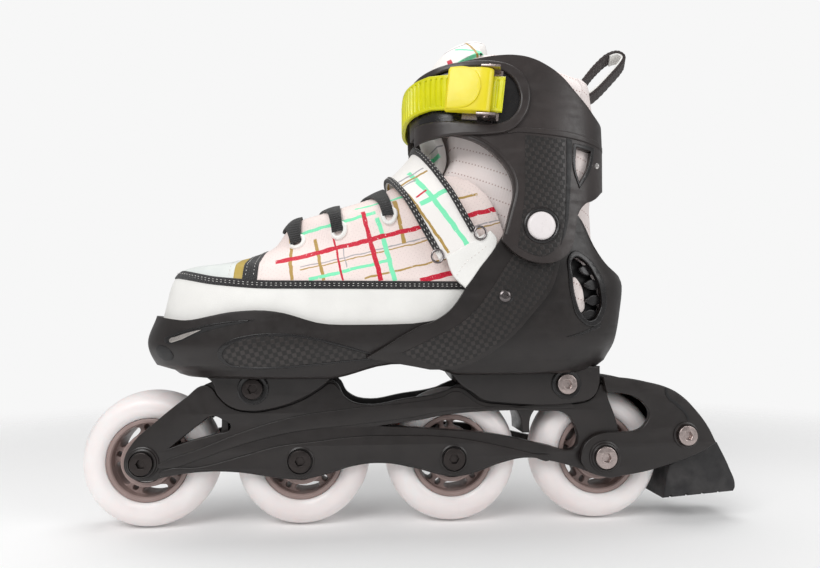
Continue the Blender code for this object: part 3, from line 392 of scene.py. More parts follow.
def padding():
    """Thin perforated lining cloth over foam, with rows of pin holes."""
    shade = leather("blush_lining", BLUSH, BLUSH_DEEP, 0.75, 0.8)
    row = shade.remap(shade.wave(shade.along(70), 7.0), 0.93, 0.97, 0.0, 1.0)
    dot = shade.remap(shade.wave(shade.along(-20), 1.7), 0.2, 0.5, 0.0, 1.0)
    base = shade.mix(shade.patches(40, 4), (0.96, 0.88, 0.86), (0.94, 0.83, 0.8))
    shade.colour(shade.math("MULTIPLY", row, dot), base, (0.55, 0.4, 0.37))
    return shade.material


def metal(name, colour, roughness=0.28):
    shade = Shade(name, colour, roughness, 1.0)
    shade.worn(500, 4, roughness - 0.08, roughness + 0.14, (1, 12, 1))
    shade.colour(shade.noise(220, 3), colour, tuple(c * 0.72 for c in colour))
    shade.bump(shade.noise(3000, 2), 0.02, 0.4)
    return shade.material


def urethane():
    shade = Shade("urethane", (0.93, 0.87, 0.86), 0.32, Subsurface_Weight=0.35,
                  Subsurface_Scale=0.006, Subsurface_Radius=(1.0, 0.75, 0.7))
    shade.colour(shade.patches(40, 3, 0.3), (0.94, 0.89, 0.88), (0.88, 0.8, 0.79))
    scuff = shade.remap(shade.noise(300, 5, (1, 4, 1)), 0.5, 0.75, 0.0, 0.22)
    shade.rough(shade.math("ADD", scuff, 0.3))
    shade.bump(shade.noise(900, 3), 0.04, 0.5)
    return shade.material


def nylon():
    shade = Shade("hub_nylon", (0.3, 0.21, 0.19), 0.4)
    shade.colour(shade.noise(150, 3), (0.27, 0.19, 0.175), (0.36, 0.27, 0.25))
    shade.worn(300, 3, 0.36, 0.5)
    shade.bump(shade.noise(2200, 2), 0.04, 0.4)
    return shade.material


def moulded_yellow(name, bright, deep):
    shade = Shade(name, bright, 0.35, Coat_Weight=0.15)
    shade.colour(shade.patches(60, 3, 0.3), bright, deep)
    shade.worn(500, 3, 0.3, 0.42)
    shade.bump(shade.noise(1800, 2), 0.03, 0.4)
    return shade.material


def woven(name, colour, light, period, angle):
    shade = Shade(name, colour, 0.75, Sheen_Weight=0.2)
    ribs = shade.wave(shade.along(angle), period)
    cloth = shade.math("MULTIPLY_ADD", shade.wave(shade.y, period * 0.7), 0.5, ribs)
    shade.colour(shade.remap(cloth, 0.2, 1.3, 0, 0.7), colour, light)
    shade.bump(cloth, 0.15, 0.7)
    return shade.material


def rubber():
    shade = Shade("brake_rubber", (0.016, 0.015, 0.016), 0.6)
    shade.colour(shade.patches(120, 4, 0.4, 0.75), (0.014, 0.013, 0.014), (0.04, 0.037, 0.037))
    shade.worn(200, 4, 0.5, 0.7)
    shade.bump(shade.noise(1200, 4), 0.08, 0.6)
    return shade.material


def felt():
    shade = Shade("felt", (0.2, 0.19, 0.19), 0.9)
    shade.colour(shade.noise(1500, 4), (0.12, 0.11, 0.11), (0.3, 0.28, 0.28))
    shade.bump(shade.noise(2500, 4), 0.2, 0.8)
    return shade.material


def make_looks():
    return {
        "plastic": plastic("charcoal", (0.0125, 0.0096, 0.009), 0.36),
        # The cuff's plastic is the shell's charcoal made lighter: painted light, where the upper
        # boot is lit from above and in front.
        "cuff": plastic("cuff_charcoal_painted_lit", (0.027, 0.021, 0.02), 0.36),
        "satin": plastic("satin_black", (0.009, 0.008, 0.0085), 0.26),
        # Deep black, used for black parts and also as painted shade: flat plates that stand for
        # the shade in the toe slit, the toe scoop and the cuff's groove.
        "dark": plastic("deep_black_and_painted_shade", (0.004, 0.0035, 0.004), 0.45),
        "carbon": carbon(),
        "white": leather("white_leather", (0.92, 0.91, 0.88), (0.86, 0.85, 0.82), 0.42).material,
        "grey": leather("toe_leather", (0.76, 0.79, 0.77), (0.7, 0.73, 0.71), 0.42).material,
        "quarter": quarter_leather(),
        "strap": checked("printed_strap", STRAP_LINES),
        "tongue": checked("printed_tongue", TONGUE_LINES, 0.55),
        "padding": padding(),
        "gold": leather("gold_leather", (0.5, 0.36, 0.07), (0.42, 0.29, 0.05), 0.42).material,
        "binding": woven("black_binding", (0.012, 0.011, 0.012), (0.05, 0.048, 0.05), 0.9, 20),
        "lace": woven("black_lace", (0.008, 0.008, 0.008), (0.035, 0.033, 0.034), 1.0, 75),
        "webbing": woven("black_webbing", (0.02, 0.012, 0.012), (0.07, 0.05, 0.045), 1.3, 52),
        "thread": woven("white_thread", (0.8, 0.78, 0.75), (0.92, 0.9, 0.88), 0.5, 45),
        "steel": metal("rose_steel", (0.5, 0.42, 0.4)),
        "black_steel": metal("black_zinc", (0.06, 0.052, 0.05), 0.35),
        "bright": metal("bright_steel", (0.78, 0.75, 0.73), 0.2),
        "dark_chrome": metal("dark_chrome", (0.2, 0.18, 0.18), 0.22),
        "brass": metal("eyelet_ring", (0.75, 0.7, 0.66), 0.3),
        "cap": leather("white_cap", (0.88, 0.83, 0.83), (0.8, 0.75, 0.75), 0.3).material,
        "urethane": urethane(),
        "nylon": nylon(),
        "yellow": moulded_yellow("lime_plastic", (0.83, 0.8, 0.0), (0.68, 0.68, 0.0)),
        "lever": moulded_yellow("lemon_plastic", (0.92, 0.77, 0.012), (0.82, 0.7, 0.01)),
        "rubber": rubber(),
        "felt": felt()}


# ================================================================ building helpers
def turn_outward(bm):
    """Turn every face of a closed mesh outward."""
    bmesh.ops.recalc_face_normals(bm, faces=bm.faces[:])
    if bm.calc_volume(signed=True) < 0.0:
        bmesh.ops.reverse_faces(bm, faces=bm.faces[:])


def from_bmesh(name, bm, closed=True):
    if closed:
        turn_outward(bm)
    mesh = bpy.data.meshes.new(name)
    bm.to_mesh(mesh)
    bm.free()
    return add_object(name, mesh)


def outward(item):
    """The same closed mesh with every face turned outward."""
    bm = bmesh_of(item)
    turn_outward(bm)
    bm.to_mesh(item.data)
    bm.free()
    return item


def bmesh_of(item):
    bm = bmesh.new()
    bm.from_mesh(item.data)
    return bm


def settled(item):
    """The mesh that an object's modifiers or curve make, as a plain mesh in world space."""
    bpy.context.view_layer.update()
    evaluated = item.evaluated_get(bpy.context.evaluated_depsgraph_get())
    mesh = bpy.data.meshes.new_from_object(evaluated)
    mesh.transform(item.matrix_world)
    name = item.name
    bpy.data.objects.remove(item, do_unlink=True)
    return add_object(name, mesh)


def combine(item, other, operation, solver="EXACT"):
    modifier = item.modifiers.new(operation, "BOOLEAN")
    modifier.operation = operation
    modifier.solver = solver
    modifier.object = other
    result = settled(item)
    bpy.data.objects.remove(other, do_unlink=True)
    return result


def cut(item, *cutters, solver="EXACT"):
    for cutter in cutters:
        item = combine(item, cutter, "DIFFERENCE", solver)
    return item


def rounded(item, width, segments=2, angle=40):
    modifier = item.modifiers.new("rounded edges", "BEVEL")
    modifier.width = width * MM
    modifier.segments = segments
    modifier.limit_method = "ANGLE"
    modifier.angle_limit = math.radians(angle)
    return settled(item)


def merged(name, items):
    """Several objects as one mesh object."""
    bm = bmesh.new()
    for item in items:
        item = settled(item) if item.modifiers else item
        mesh = item.data.copy()
        mesh.transform(item.matrix_world)
        bm.from_mesh(mesh)
        bpy.data.meshes.remove(mesh)
        bpy.data.objects.remove(item, do_unlink=True)
    mesh = bpy.data.meshes.new(name)
    bm.to_mesh(mesh)
    bm.free()
    return add_object(name, mesh)


def dress(item, look):
    item.data.materials.clear()
    item.data.materials.append(LOOKS[look])


def finish(item, look, body="boot", replaces=(), sharp=35):
    """Give a piece its material, move it into the row frame and let it ride on its body."""
    if item.modifiers:
        item = settled(item)
    item.data.transform(Matrix.Translation(SHIFT * MM))
    dress(item, look)
    for face in item.data.polygons:
        face.material_index = 0
    item.data.shade_smooth()
    item.data.set_sharp_from_angle(angle=math.radians(sharp))
    if replaces:
        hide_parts(*replaces)
    if body:
        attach(item, body)
    return item


def box(name, low, high, bevel=0.4):
    bm = bmesh.new()
    bmesh.ops.create_cube(bm, size=1.0)
    bmesh.ops.scale(bm, verts=bm.verts[:], vec=(Vector(high) - Vector(low)) * MM)
    bmesh.ops.translate(bm, verts=bm.verts[:], vec=(Vector(high) + Vector(low)) / 2 * MM)
    item = from_bmesh(name, bm)
    return rounded(item, bevel) if bevel else item


def turned(name, profile, x, z, steps=64):
    """Turn a closed profile of (distance along Y, radius) points about an axis along Y."""
    area = sum(a[0] * b[1] - b[0] * a[1] for a, b in zip(profile, profile[1:] + profile[:1]))
    if area < 0:
        profile = profile[::-1]
    bm = bmesh.new()
    rings = []
    for along, radius in profile:
        if radius == 0.0:
            rings.append([bm.verts.new((x * MM, along * MM, z * MM))])
            continue
        ring = []
        for i in range(steps):
            angle = 2 * math.pi * i / steps
            ring.append(bm.verts.new(((x + radius * math.cos(angle)) * MM, along * MM,
                                      (z + radius * math.sin(angle)) * MM)))
        rings.append(ring)
    for first, second in zip(rings, rings[1:] + rings[:1]):
        for i in range(steps):
            j = (i + 1) % steps
            corners = [first[i % len(first)], first[j % len(first)], second[j % len(second)],
                       second[i % len(second)]]
            unique = list(dict.fromkeys(corners))
            if len(unique) > 2:
                bm.faces.new(unique)
    return from_bmesh(name, bm)


def fitting(name, side, face, spot, steps, *profile):
    """Turn (height over a face, radius) points about an axis along Y, on one side."""
    points = [(side * (face + height), radius) for height, radius in profile]
    return turned(name, points, *spot, steps)


def flat_plate(name, outlines, y_from, y_to, bevel=0.0, resolution=6, segments=2):
    """Side outlines of (x, z[, 1 = sharp]) points, the later ones holes, as a plate along Y."""
    curve = bpy.data.curves.new(name, "CURVE")
    curve.dimensions = "2D"
    curve.fill_mode = "BOTH"
    curve.extrude = ((y_to - y_from) / 2 - bevel) * MM
    curve.bevel_depth = bevel * MM
    curve.bevel_resolution = segments
    curve.offset = -bevel * MM
    curve.resolution_u = resolution
    for outline in outlines:
        spline = curve.splines.new("BEZIER")
        spline.bezier_points.add(len(outline) - 1)
        for point, place in zip(spline.bezier_points, outline):
            point.co = (place[0] * MM, place[1] * MM, 0.0)
            kind = "VECTOR" if len(place) > 2 else "AUTO"
            point.handle_left_type = kind
            point.handle_right_type = kind
        spline.use_cyclic_u = True
    item = add_object(name, curve)
    item.rotation_euler = (math.pi / 2, 0.0, 0.0)
    item.location = (0.0, (y_from + y_to) / 2 * MM, 0.0)
    item = settled(item)
    bm = bmesh_of(item)
    bmesh.ops.remove_doubles(bm, verts=bm.verts[:], dist=0.00001)
    bpy.data.objects.remove(item, do_unlink=True)
    return from_bmesh(name, bm)


def side_plate(name, outlines, side, near, far, bevel=0.0, resolution=6, segments=2):
    """A flat plate between two distances from the middle, on one side."""
    return flat_plate(name, outlines, *sorted((side * near, side * far)), bevel, resolution,
                      segments)


def circle(x, z, radius, count=8):
    angles = [2 * math.pi * i / count for i in range(count)]
    return [(x + radius * math.cos(turn), z + radius * math.sin(turn)) for turn in angles]


def hexagon(x, z, radius):
    return [(*point, 1) for point in circle(x, z, radius, 6)]


def panel(name, outlines, surface, lift, thickness, side, bevel, grid):
    """A plate with rounded edges bent on to a surface given as y distance for each x, z."""
    item = flat_plate(name, outlines, 0.0, thickness, bevel, 5)
    bm = bmesh_of(item)
    bpy.data.objects.remove(item, do_unlink=True)
    for axis, normal in ((0, (1, 0, 0)), (2, (0, 0, 1))):
        low = min(v.co[axis] for v in bm.verts)
        high = max(v.co[axis] for v in bm.verts)
        steps = int((high - low) / (grid * MM))
        for k in range(1, steps + 1):
            place = low + k * (high - low) / (steps + 1)
            bmesh.ops.bisect_plane(bm, geom=bm.verts[:] + bm.edges[:] + bm.faces[:],
                                   plane_co=Vector(normal) * place, plane_no=normal)
    for vertex in bm.verts:
        x, y, z = vertex.co / MM
        vertex.co.y = side * (surface(x, z) + lift + y) * MM
    return from_bmesh(name, bm)


def thickened(name, bm, thickness, offset=-1.0):
    """An open skin made solid. Offset -1 puts the thickness behind its front."""
    item = from_bmesh(name, bm, closed=False)
    solid = item.modifiers.new("thickness", "SOLIDIFY")
    solid.thickness = thickness * MM
    solid.offset = offset
    return outward(settled(item))


def sheet(name, rows, thickness, offset=-1.0, ring=False, floor=False, round_rim=0.0):
    """A skin through rows of points, made solid. Ring rows meet end to end."""
    bm = bmesh.new()
    grid = [[bm.verts.new(Vector(point) * MM) for point in row] for row in rows]
    last = len(rows[0]) if ring else len(rows[0]) - 1
    for lower, upper in zip(grid, grid[1:]):
        for i in range(last):
            j = (i + 1) % len(lower)
            bm.faces.new((lower[i], lower[j], upper[j], upper[i]))
    if floor:
        edge = grid[0]
        half = len(edge) // 2
        bm.faces.new((edge[0], edge[-1], edge[1]))
        bm.faces.new((edge[half], edge[half - 1], edge[half + 1]))
        for i in range(1, half - 1):
            bm.faces.new((edge[i], edge[-i], edge[-i - 1], edge[i + 1]))
    bmesh.ops.remove_doubles(bm, verts=bm.verts[:], dist=0.00002)
    item = thickened(name, bm, thickness, offset)
    return rounded(item, round_rim, 3, 50) if round_rim else item


def even_steps(start, end, count):
    """Evenly spaced values, both ends included."""
    return [start + (end - start) * k / (count - 1) for k in range(count)]


def spread(points, count):
    """Even steps along a smooth line through points."""
    result = []
    for k in range(count):
        place = k / (count - 1) * (len(points) - 1)
        i = min(int(place), len(points) - 2)
        t = place - i
        p0, p1 = points[max(i - 1, 0)], points[i]
        p2, p3 = points[i + 1], points[min(i + 2, len(points) - 1)]
        result.append(tuple(
            0.5 * (2 * b + (c - a) * t + (2 * a - 5 * b + 4 * c - d) * t * t
                   + (3 * b - a - 3 * c + d) * t ** 3)
            for a, b, c, d in zip(p0, p1, p2, p3)))
    return result


def even_line(points, step):
    """Points a set distance apart along a polyline."""
    result = [Vector(points[0])]
    left = step
    for first, second in zip(points, points[1:]):
        first, second = Vector(first), Vector(second)
        length = (second - first).length
        done = 0.0
        while length - done >= left:
            done += left
            result.append(first.lerp(second, done / length))
            left = step
        left -= length - done
    return result


def stitches(name, lines, length, gap, radius):
    """Short rounded thread runs along lines of 3-D points, as one mesh."""
    bm = bmesh.new()
    for line in lines:
        places = even_line(line, length + gap)
        for first, second in zip(places, places[1:]):
            ahead = second - first
            turn = ahead.to_track_quat("X", "Z").to_matrix().to_4x4()
            size = Matrix.Diagonal((length / 2, radius, radius, 1))
            matrix = Matrix.Translation(first) @ turn @ size
            made = bmesh.ops.create_uvsphere(bm, u_segments=6, v_segments=4, radius=1.0)
            bmesh.ops.transform(bm, matrix=Matrix.Scale(MM, 4) @ matrix, verts=made["verts"])
    return from_bmesh(name, bm)


def tube(name, points, radius, closed=False):
    """A round wire along 3-D points."""
    curve = bpy.data.curves.new(name, "CURVE")
    curve.dimensions = "3D"
    curve.bevel_depth = radius * MM
    curve.bevel_resolution = 2
    curve.use_fill_caps = True
    spline = curve.splines.new("POLY")
    spline.points.add(len(points) - 1)
    for point, place in zip(spline.points, points):
        point.co = (*(Vector(place) * MM), 1.0)
    spline.use_cyclic_u = closed
    return settled(add_object(name, curve))


# ================================================================ the boot's form
class Table:
    """Columns of numbers read smoothly against height, with no overshoot between rows."""

    def __init__(self, rows):
        self.levels = [row[0] for row in rows]
        self.values = [row[1:] for row in rows]
        count = len(rows)
        self.slopes = []
        for i in range(count):
            slopes = []
            for c in range(len(self.values[0])):
                before = self.rise(i - 1, c) if i > 0 else None
                after = self.rise(i, c) if i < count - 1 else None
                if before is None or after is None:
                    slopes.append(after if before is None else before)
                else:
                    rising = before * after > 0
                    slopes.append(2 * before * after / (before + after) if rising else 0.0)
            self.slopes.append(slopes)

    def rise(self, i, c):
        return (self.values[i + 1][c] - self.values[i][c]) / (self.levels[i + 1] - self.levels[i])

    def at(self, level):
        level = min(max(level, self.levels[0]), self.levels[-1])
        i = 0
        while i < len(self.levels) - 2 and level > self.levels[i + 1]:
            i += 1
        span = self.levels[i + 1] - self.levels[i]
        t = (level - self.levels[i]) / span
        ends = zip(self.values[i], self.values[i + 1], self.slopes[i], self.slopes[i + 1])
        return [a * (1 + 2 * t) * (1 - t) ** 2 + b * t * t * (3 - 2 * t)
                + span * (m * t * (1 - t) ** 2 + n * t * t * (t - 1)) for a, b, m, n in ends]


BOOT = Table(BOOT_FORM)
CUFF = Table(CUFF_FORM)


def ease(value):
    value = min(max(value, 0.0), 1.0)
    return value * value * (3 - 2 * value)


def half_width(x, z, inset=0.0):
    """Half the boot form's width at a point of its side view."""
    toe, heel, fore, aft = BOOT.at(z)
    toe, heel, fore, aft = toe + inset, heel - inset, fore - inset, aft - inset
    width = fore + (aft - fore) * ease((x + 60) / 120)
    if x < toe + TOE_RUN:
        t = min((toe + TOE_RUN - x) / TOE_RUN, 1.0)
    elif x > heel - HEEL_RUN:
        t = min((x - heel + HEEL_RUN) / HEEL_RUN, 1.0)
    else:
        t = 0.0
    return width * (1 - t ** ROUNDNESS) ** (1 / ROUNDNESS)


def form_point(z, i, count, inset=0.0):
    """One of count points round a level outline: x and y. It runs toe, outer side, heel."""
    toe, heel = BOOT.at(z)[:2]
    toe, heel = toe + inset, heel - inset
    angle = 2 * math.pi * i / count
    share = math.copysign(abs(math.cos(angle)) ** 0.8, math.cos(angle))
    x = (toe + heel) / 2 - (heel - toe) / 2 * share
    y = 0.0 if abs(math.sin(angle)) < 1e-6 else half_width(x, z, inset)
    return x, -y if math.sin(angle) > 0 else y


def form_ring(z, count, inset=0.0, scale=1.0, lift=0.0):
    """A level outline of the form as it is lift higher up, scaled about its middle."""
    middle = sum(BOOT.at(z + lift)[:2]) / 2
    points = [form_point(z + lift, i, count, inset) for i in range(count)]
    return [(middle + (x - middle) * scale, y * scale, z) for x, y in points]


def cuff_width(x, z, inset=0.0):
    front, rear, width = CUFF.at(z)
    front, rear, width = front + inset, rear - inset, width - inset
    reach = CUFF_MIDDLE_X - front if x < CUFF_MIDDLE_X else rear - CUFF_MIDDLE_X
    t = min(abs(x - CUFF_MIDDLE_X) / reach, 1.0)
    return width * (1 - t ** CUFF_ROUNDNESS) ** (1 / CUFF_ROUNDNESS)


def cuff_ring(z, count):
    front, rear = CUFF.at(z)[:2]
    ring = []
    for i in range(count):
        angle = 2 * math.pi * i / count
        share = math.copysign(abs(math.cos(angle)) ** 0.85, math.cos(angle))
        reach = CUFF_MIDDLE_X - front if share > 0 else rear - CUFF_MIDDLE_X
        x = CUFF_MIDDLE_X - reach * share
        y = 0.0 if abs(math.sin(angle)) < 1e-6 else cuff_width(x, z)
        ring.append((x, -y if math.sin(angle) > 0 else y, z))
    return ring


@functools.lru_cache(maxsize=None)
def form_tree(inset=0.0):
    """A search tree of the boot form's surface, for parts that lie on it."""
    count = 160
    rows = [form_ring(78 + 0.75 * k, count, inset) for k in range(246)]
    points = [Vector(point) for row in rows for point in row]
    faces = []
    for start in range(0, len(points) - count, count):
        for i in range(count):
            j = (i + 1) % count
            faces.append((start + i, start + j, start + count + j, start + count + i))
    return BVHTree.FromPolygons(points, faces)


def line_at(points, x):
    """Height of a line of (x, z) points, read straight between them."""
    if x <= points[0][0]:
        return points[0][1]
    for first, second in zip(points, points[1:]):
        if x <= second[0]:
            share = (x - first[0]) / (second[0] - first[0])
            return first[1] + (second[1] - first[1]) * share
    return points[-1][1]


def smooth_line(points):
    """A dense version of a line of (x, z) points."""
    return spread(points, 8 * len(points))


# ================================================================ wheels
SPOKES, FIRST_SPOKE = 5, 99              # a count, and degrees above +X
WEB_HALF = 5.4
# (radius, turn in radians) points round one window or slot of the hub's web
HUB_WINDOW = ((14.9, -0.28), (16.6, -0.4), (18.2, -0.34), (18.6, 0.0), (18.2, 0.34), (16.6, 0.4),
              (14.9, 0.28), (14.6, 0.0))
HUB_SLOT = ((14.8, -0.05), (17.9, -0.06), (18.3, 0.0), (17.9, 0.06), (14.8, 0.05), (14.5, 0.0))
# (distance along the axle, radius) points
RIM = [(-9.9, 21.6), (-10.2, 21.0), (-10.2, 19.6), (-9.6, 19.0), (-6, 18.8), (6, 18.8),
       (9.6, 19.0), (10.2, 19.6), (10.2, 21.0), (9.9, 21.6)]
HUB = [(-11.6, 11.3), (-11.6, 12.8), (-11.0, 13.6), (-5, 14.2), (5, 14.2), (11.0, 13.6),
       (11.6, 12.8), (11.6, 11.3)]
BEARING_FACE = 11.1


def tyre_profile():
    """A round tread over straight flanks, with a seat for the hub's rim."""
    shoulder = WHEEL_RADIUS - TYRE_CROWN
    arc = [(TYRE_HALF * math.cos(turn), shoulder + TYRE_CROWN * abs(math.sin(turn)) ** 0.82)
           for turn in even_steps(0, math.pi, 25)]
    seat = CORE_RADIUS + 0.1
    return [(TYRE_HALF, 25.6), *arc, (-TYRE_HALF, 25.6), (-11.2, 23.0), (-10.0, seat),
            (10.0, seat), (11.2, 23.0)]


def polar(spot, angle, points):
    return [(spot[0] + radius * math.cos(angle + turn), spot[1] + radius * math.sin(angle + turn))
            for radius, turn in points]


def make_wheel(number, x):
    spot = (x, WHEEL_RADIUS)
    body = f"wheel_{number}"
    tyre = turned(f"tyre_{number}_ring", tyre_profile(), *spot, 128)
    finish(tyre, "urethane", body, [f"tyre_{number}"])

    rim = turned(f"rim_{number}", RIM, *spot, 96)
    hub = turned(f"hub_{number}", HUB, *spot, 96)
    outlines = [circle(*spot, 19.4, 24), circle(*spot, 13.2, 24)]
    for spoke in range(SPOKES):
        angle = math.radians(FIRST_SPOKE + 360 / SPOKES * spoke)
        outlines.append(polar(spot, angle + math.pi / SPOKES, HUB_WINDOW))
        outlines.append(polar(spot, angle, HUB_SLOT))
    web = flat_plate(f"spokes_{number}", outlines, -WEB_HALF, WEB_HALF, 0.5, 5)
    core = merged(f"hub_core_{number}", [rim, hub, web])
    finish(core, "nylon", body, [f"core_{number}"])

    for side, word in SIDES:
        shield = fitting(f"bearing_face_{number}_{word}", side, BEARING_FACE, spot, 64,
                         (-7.0, 10.9), (0, 10.9), (0, 9.6), (-0.5, 9.4), (-0.5, 5.8), (0, 5.6),
                         (0, 4.3), (-7.0, 4.3))
        finish(shield, "bright", body, [f"bearing_{number}_{word}"])
    dress(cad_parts[f"spacer_{number}"], "steel")


def socket_head(name, side, face, spot, radius, thick, socket, shank, reach, look, replaces):
    """A pan head with a six-sided socket on a face, with a plain shank behind it."""
    head = side_plate(f"{name}_rim", [circle(*spot, radius, 16), hexagon(*spot, socket)],
                      side, face, face + thick, 0.45, 4)
    floor = fitting(f"{name}_floor", side, face, spot, 24,
                    (0, 0.0), (0, socket + 0.4), (0.5, socket + 0.4), (0.5, 0.0))
    stem = fitting(f"{name}_shank", side, face, spot, 32,
                   (0, 0.0), (0, shank), (-reach, shank), (-reach, 0.0))
    finish(merged(name, [head, floor, stem]), look, "boot", [replaces])


def make_axles():
    for number, x in enumerate(WHEEL_X, 1):
        rear = number == REAR_WHEEL
        face = (BRAKE_OUTER if rear else FRAME_OUTER) + 0.3
        look, slot = ("steel", "bolt_rose") if rear else ("black_steel", "bolt_dark")
        spot = (x, WHEEL_RADIUS)
        for side, node in ((OUTER, "axle"), (INNER, "axle_screw")):
            cup = fitting(f"{node}_{number}_cup", side, face, spot, 48, (0, 4.0), (0, 7.6),
                          (0.8, 7.4), (1.2, 6.6), (0.5, 6.2), (0.5, 4.0))
            finish(cup, "plastic")
            reach = face - 0.6 if side == OUTER else 6.0
            name = f"{node}_{number}"
            socket_head(f"{name}_head", side, face + 0.1, spot, 5.8, 2.2, 2.5, 3.9, reach, look,
                        name)


# ================================================================ chassis
RAIL_NOSE = [(-130.2, 36), (-127, 45), (-115, 56.7), (-100, 69)]
RAIL_UNDERSIDE = [
    (125, 66), (130, 49), (129.5, 33), (121, 26.8), (114, 27.4), (104.8, 30.5), (91, 34),
    (80, 35.6), (66, 33.2), (52, 28.4), (43.1, 26.6), (34.9, 27.1), (20, 31), (3, 34),
    (-12, 32.9), (-28, 28.4), (-40.2, 26.4), (-56, 28), (-71, 30.4), (-92, 31), (-108, 29),
    (-120, 26.8), (-128.3, 30.5)]
RAIL_DIP = [(-17, 68.3), (-8, 64.6), (15, 67.4), (34, 70.6)]
INNER_RAIL = [
    *RAIL_NOSE, (-87, 77.2), (-80, 78), (-30, 78), (-22.5, 76.4), *RAIL_DIP, (43.5, 74.6),
    (60, 77), (114, 77.5), (120.8, 77), *RAIL_UNDERSIDE]
OUTER_RAIL = [
    *RAIL_NOSE, (-90.5, 75.5), (-86.7, 74.0), (-83.5, 69.6), (-76.5, 63.6), (-67, 61.4),
    (-56.7, 62.2), (-40, 67.2), (-30, 73.0), (-24.5, 76.2), (-21, 73.6), *RAIL_DIP,
    (41.0, 73.2), (46, 72.4), (50, 69.5), (55, 66), (64, 64.4), (108, 64), (115.8, 66.4),
    (119.4, 71.5), (121.5, 74), *RAIL_UNDERSIDE]
FRONT_WINDOW = [
    (-86.5, 59.4), (-81, 57.8), (-76.5, 53.6), (-84, 50.4), (-97, 47), (-107.5, 43.4, 1),
    (-92.6, 55.4)]
LONG_WINDOW = [
    (1.0, 53.3, 1), (20, 55.8), (38, 58.8), (56, 60.2), (90, 60), (101, 58.6), (106.6, 51),
    (107.4, 43), (104.5, 39.8), (90, 42.2), (70.8, 46.6), (55.6, 49.2), (35, 51), (17.5, 52.4)]
LOWER_BEAM = [
    (-112, 30.5), (-108, 33), (-92, 33.8), (-71, 38.8), (-52, 43.7), (-32, 46), (-12, 48.1),
    (8, 48.4), (33, 47.7), (48.8, 45.7), (69, 41.4), (83, 37.9), (92, 35.4), (80, 36.6),
    (66, 34.4), (52, 29.6), (43.1, 27.6), (34.9, 28.1), (20, 32), (3, 35), (-12, 33.9),
    (-28, 29.4), (-40.2, 27.4), (-56, 29), (-71, 31.4), (-92, 32), (-104, 30)]
UPPER_BEAM = [
    (-113, 34.5), (-111, 36.2), (-91.8, 43.0), (-71.6, 50.8), (-45.4, 58.4), (-15.4, 62.6),
    (14, 65.2), (34, 68.2), (42, 71.2), (49, 67.6), (54, 64.2), (64, 62.6), (106, 62.4),
    (102.5, 61.4), (56, 62.2), (36, 60.6), (18, 57.6), (-2, 55.2), (-16, 53.8), (-45.4, 50.6),
    (-71.6, 44.4), (-91.8, 37.6), (-108, 33.2)]


def cross_web(middle, top):
    """One web between the rails, wider under the boot than between the wheels."""
    outline = [(middle - 1.8, 48, 1), (middle + 1.8, 48, 1), (middle + 2.6, top - 6),
               (middle + 5.5, top - 1, 1), (middle + 5.5, top, 1), (middle - 5.5, top, 1),
               (middle - 5.5, top - 1, 1), (middle - 2.6, top - 6)]
    return flat_plate(f"web_{middle}", [outline], -FRAME_INNER - 0.2, FRAME_INNER + 0.2, 0.3, 4)


def make_frame():
    parts = []
    openings = [FRONT_WINDOW, LONG_WINDOW, *(circle(x, WHEEL_RADIUS, AXLE_HOLE) for x in WHEEL_X)]
    beam_holes = [circle(x, WHEEL_RADIUS, 7.0) for x in WHEEL_X[1:3]]
    face = FRAME_OUTER
    for side, word in SIDES:
        parts += [
            side_plate(f"rail_tab_{word}", [INNER_RAIL, *openings], side, FRAME_INNER, FRAME_TAB,
                       0.2, 5),
            side_plate(f"rail_{word}", [OUTER_RAIL, *openings], side, FRAME_TAB - 0.2, face,
                       0.55, 6, 3),
            side_plate(f"lower_beam_{word}", [LOWER_BEAM, *beam_holes], side, face - 0.3,
                       face + 0.9, 0.5, 6, 3),
            side_plate(f"upper_beam_{word}", [UPPER_BEAM], side, face - 0.3, face + 0.55,
                       0.4, 6, 3)]
        for x in WHEEL_X[:3]:
            parts.append(fitting(f"axle_boss_{word}_{x}", side, face, (x, WHEEL_RADIUS), 64,
                                 (-0.5, 7.0), (-0.5, 8.6), (0.5, 8.4), (0.8, 7.8), (0.5, 7.0)))
    parts += [cross_web(-80.5, 68.0), cross_web(0.0, 62.0), cross_web(80.5, 62.0)]
    finish(merged("chassis_rails", parts), "plastic", "boot", ["frame"])


BRAKE_ARM = [
    (121, 25.4), (108.8, 32), (108.6, 40), (113.5, 46), (120.7, 48.6), (128.4, 48.9), (139.2, 50),
    (143.9, 53.5), (145.8, 58.7), (143.5, 63.4), (139, 67), (131.4, 69.3), (122.9, 70, 1),
    (121.2, 78.2, 1), (134, 77.5), (144.8, 75.5), (157.1, 72), (164, 68), (171.4, 60.6),
    (178, 51.6), (182.3, 42.6, 1), (176, 39), (166.4, 35), (154.6, 31.2), (142.9, 28.2),
    (132, 26.4)]
BRAKE_CROWN = [
    (123.5, 75.6), (128.5, 73.8), (160.5, 64), (160.5, 36), (162, 34.2), (170, 38.4), (178, 41.4),
    (181.6, 43.2, 1), (177.4, 51.4), (170.8, 60.2), (163.6, 67.4), (156.9, 71.4), (144.8, 74.9),
    (134, 76.9), (124, 77.6)]
BRAKE_SEAM = [
    (155.0, 72.2, 1), (155.3, 68), (160.8, 62.4), (165.3, 58), (166.8, 54.4, 1),
    (167.8, 54.8, 1), (166.3, 59), (161.9, 63.6), (156.4, 69), (156.2, 71.8, 1)]
BRAKE_PAD = [
    (158.4, 30, 1), (154.6, 12.4, 1), (194.2, 15.4, 1), (195.4, 18), (192.6, 28),
    (186.4, 41.6, 1), (180.6, 40.4), (170.0, 35.6)]
BRAKE_BOLT = (165.6, 46.9)
PAD_HALF = 15.4
GROOVE_START, GROOVE_SPACING, GROOVE_WIDTH = 158, 9, 1.4


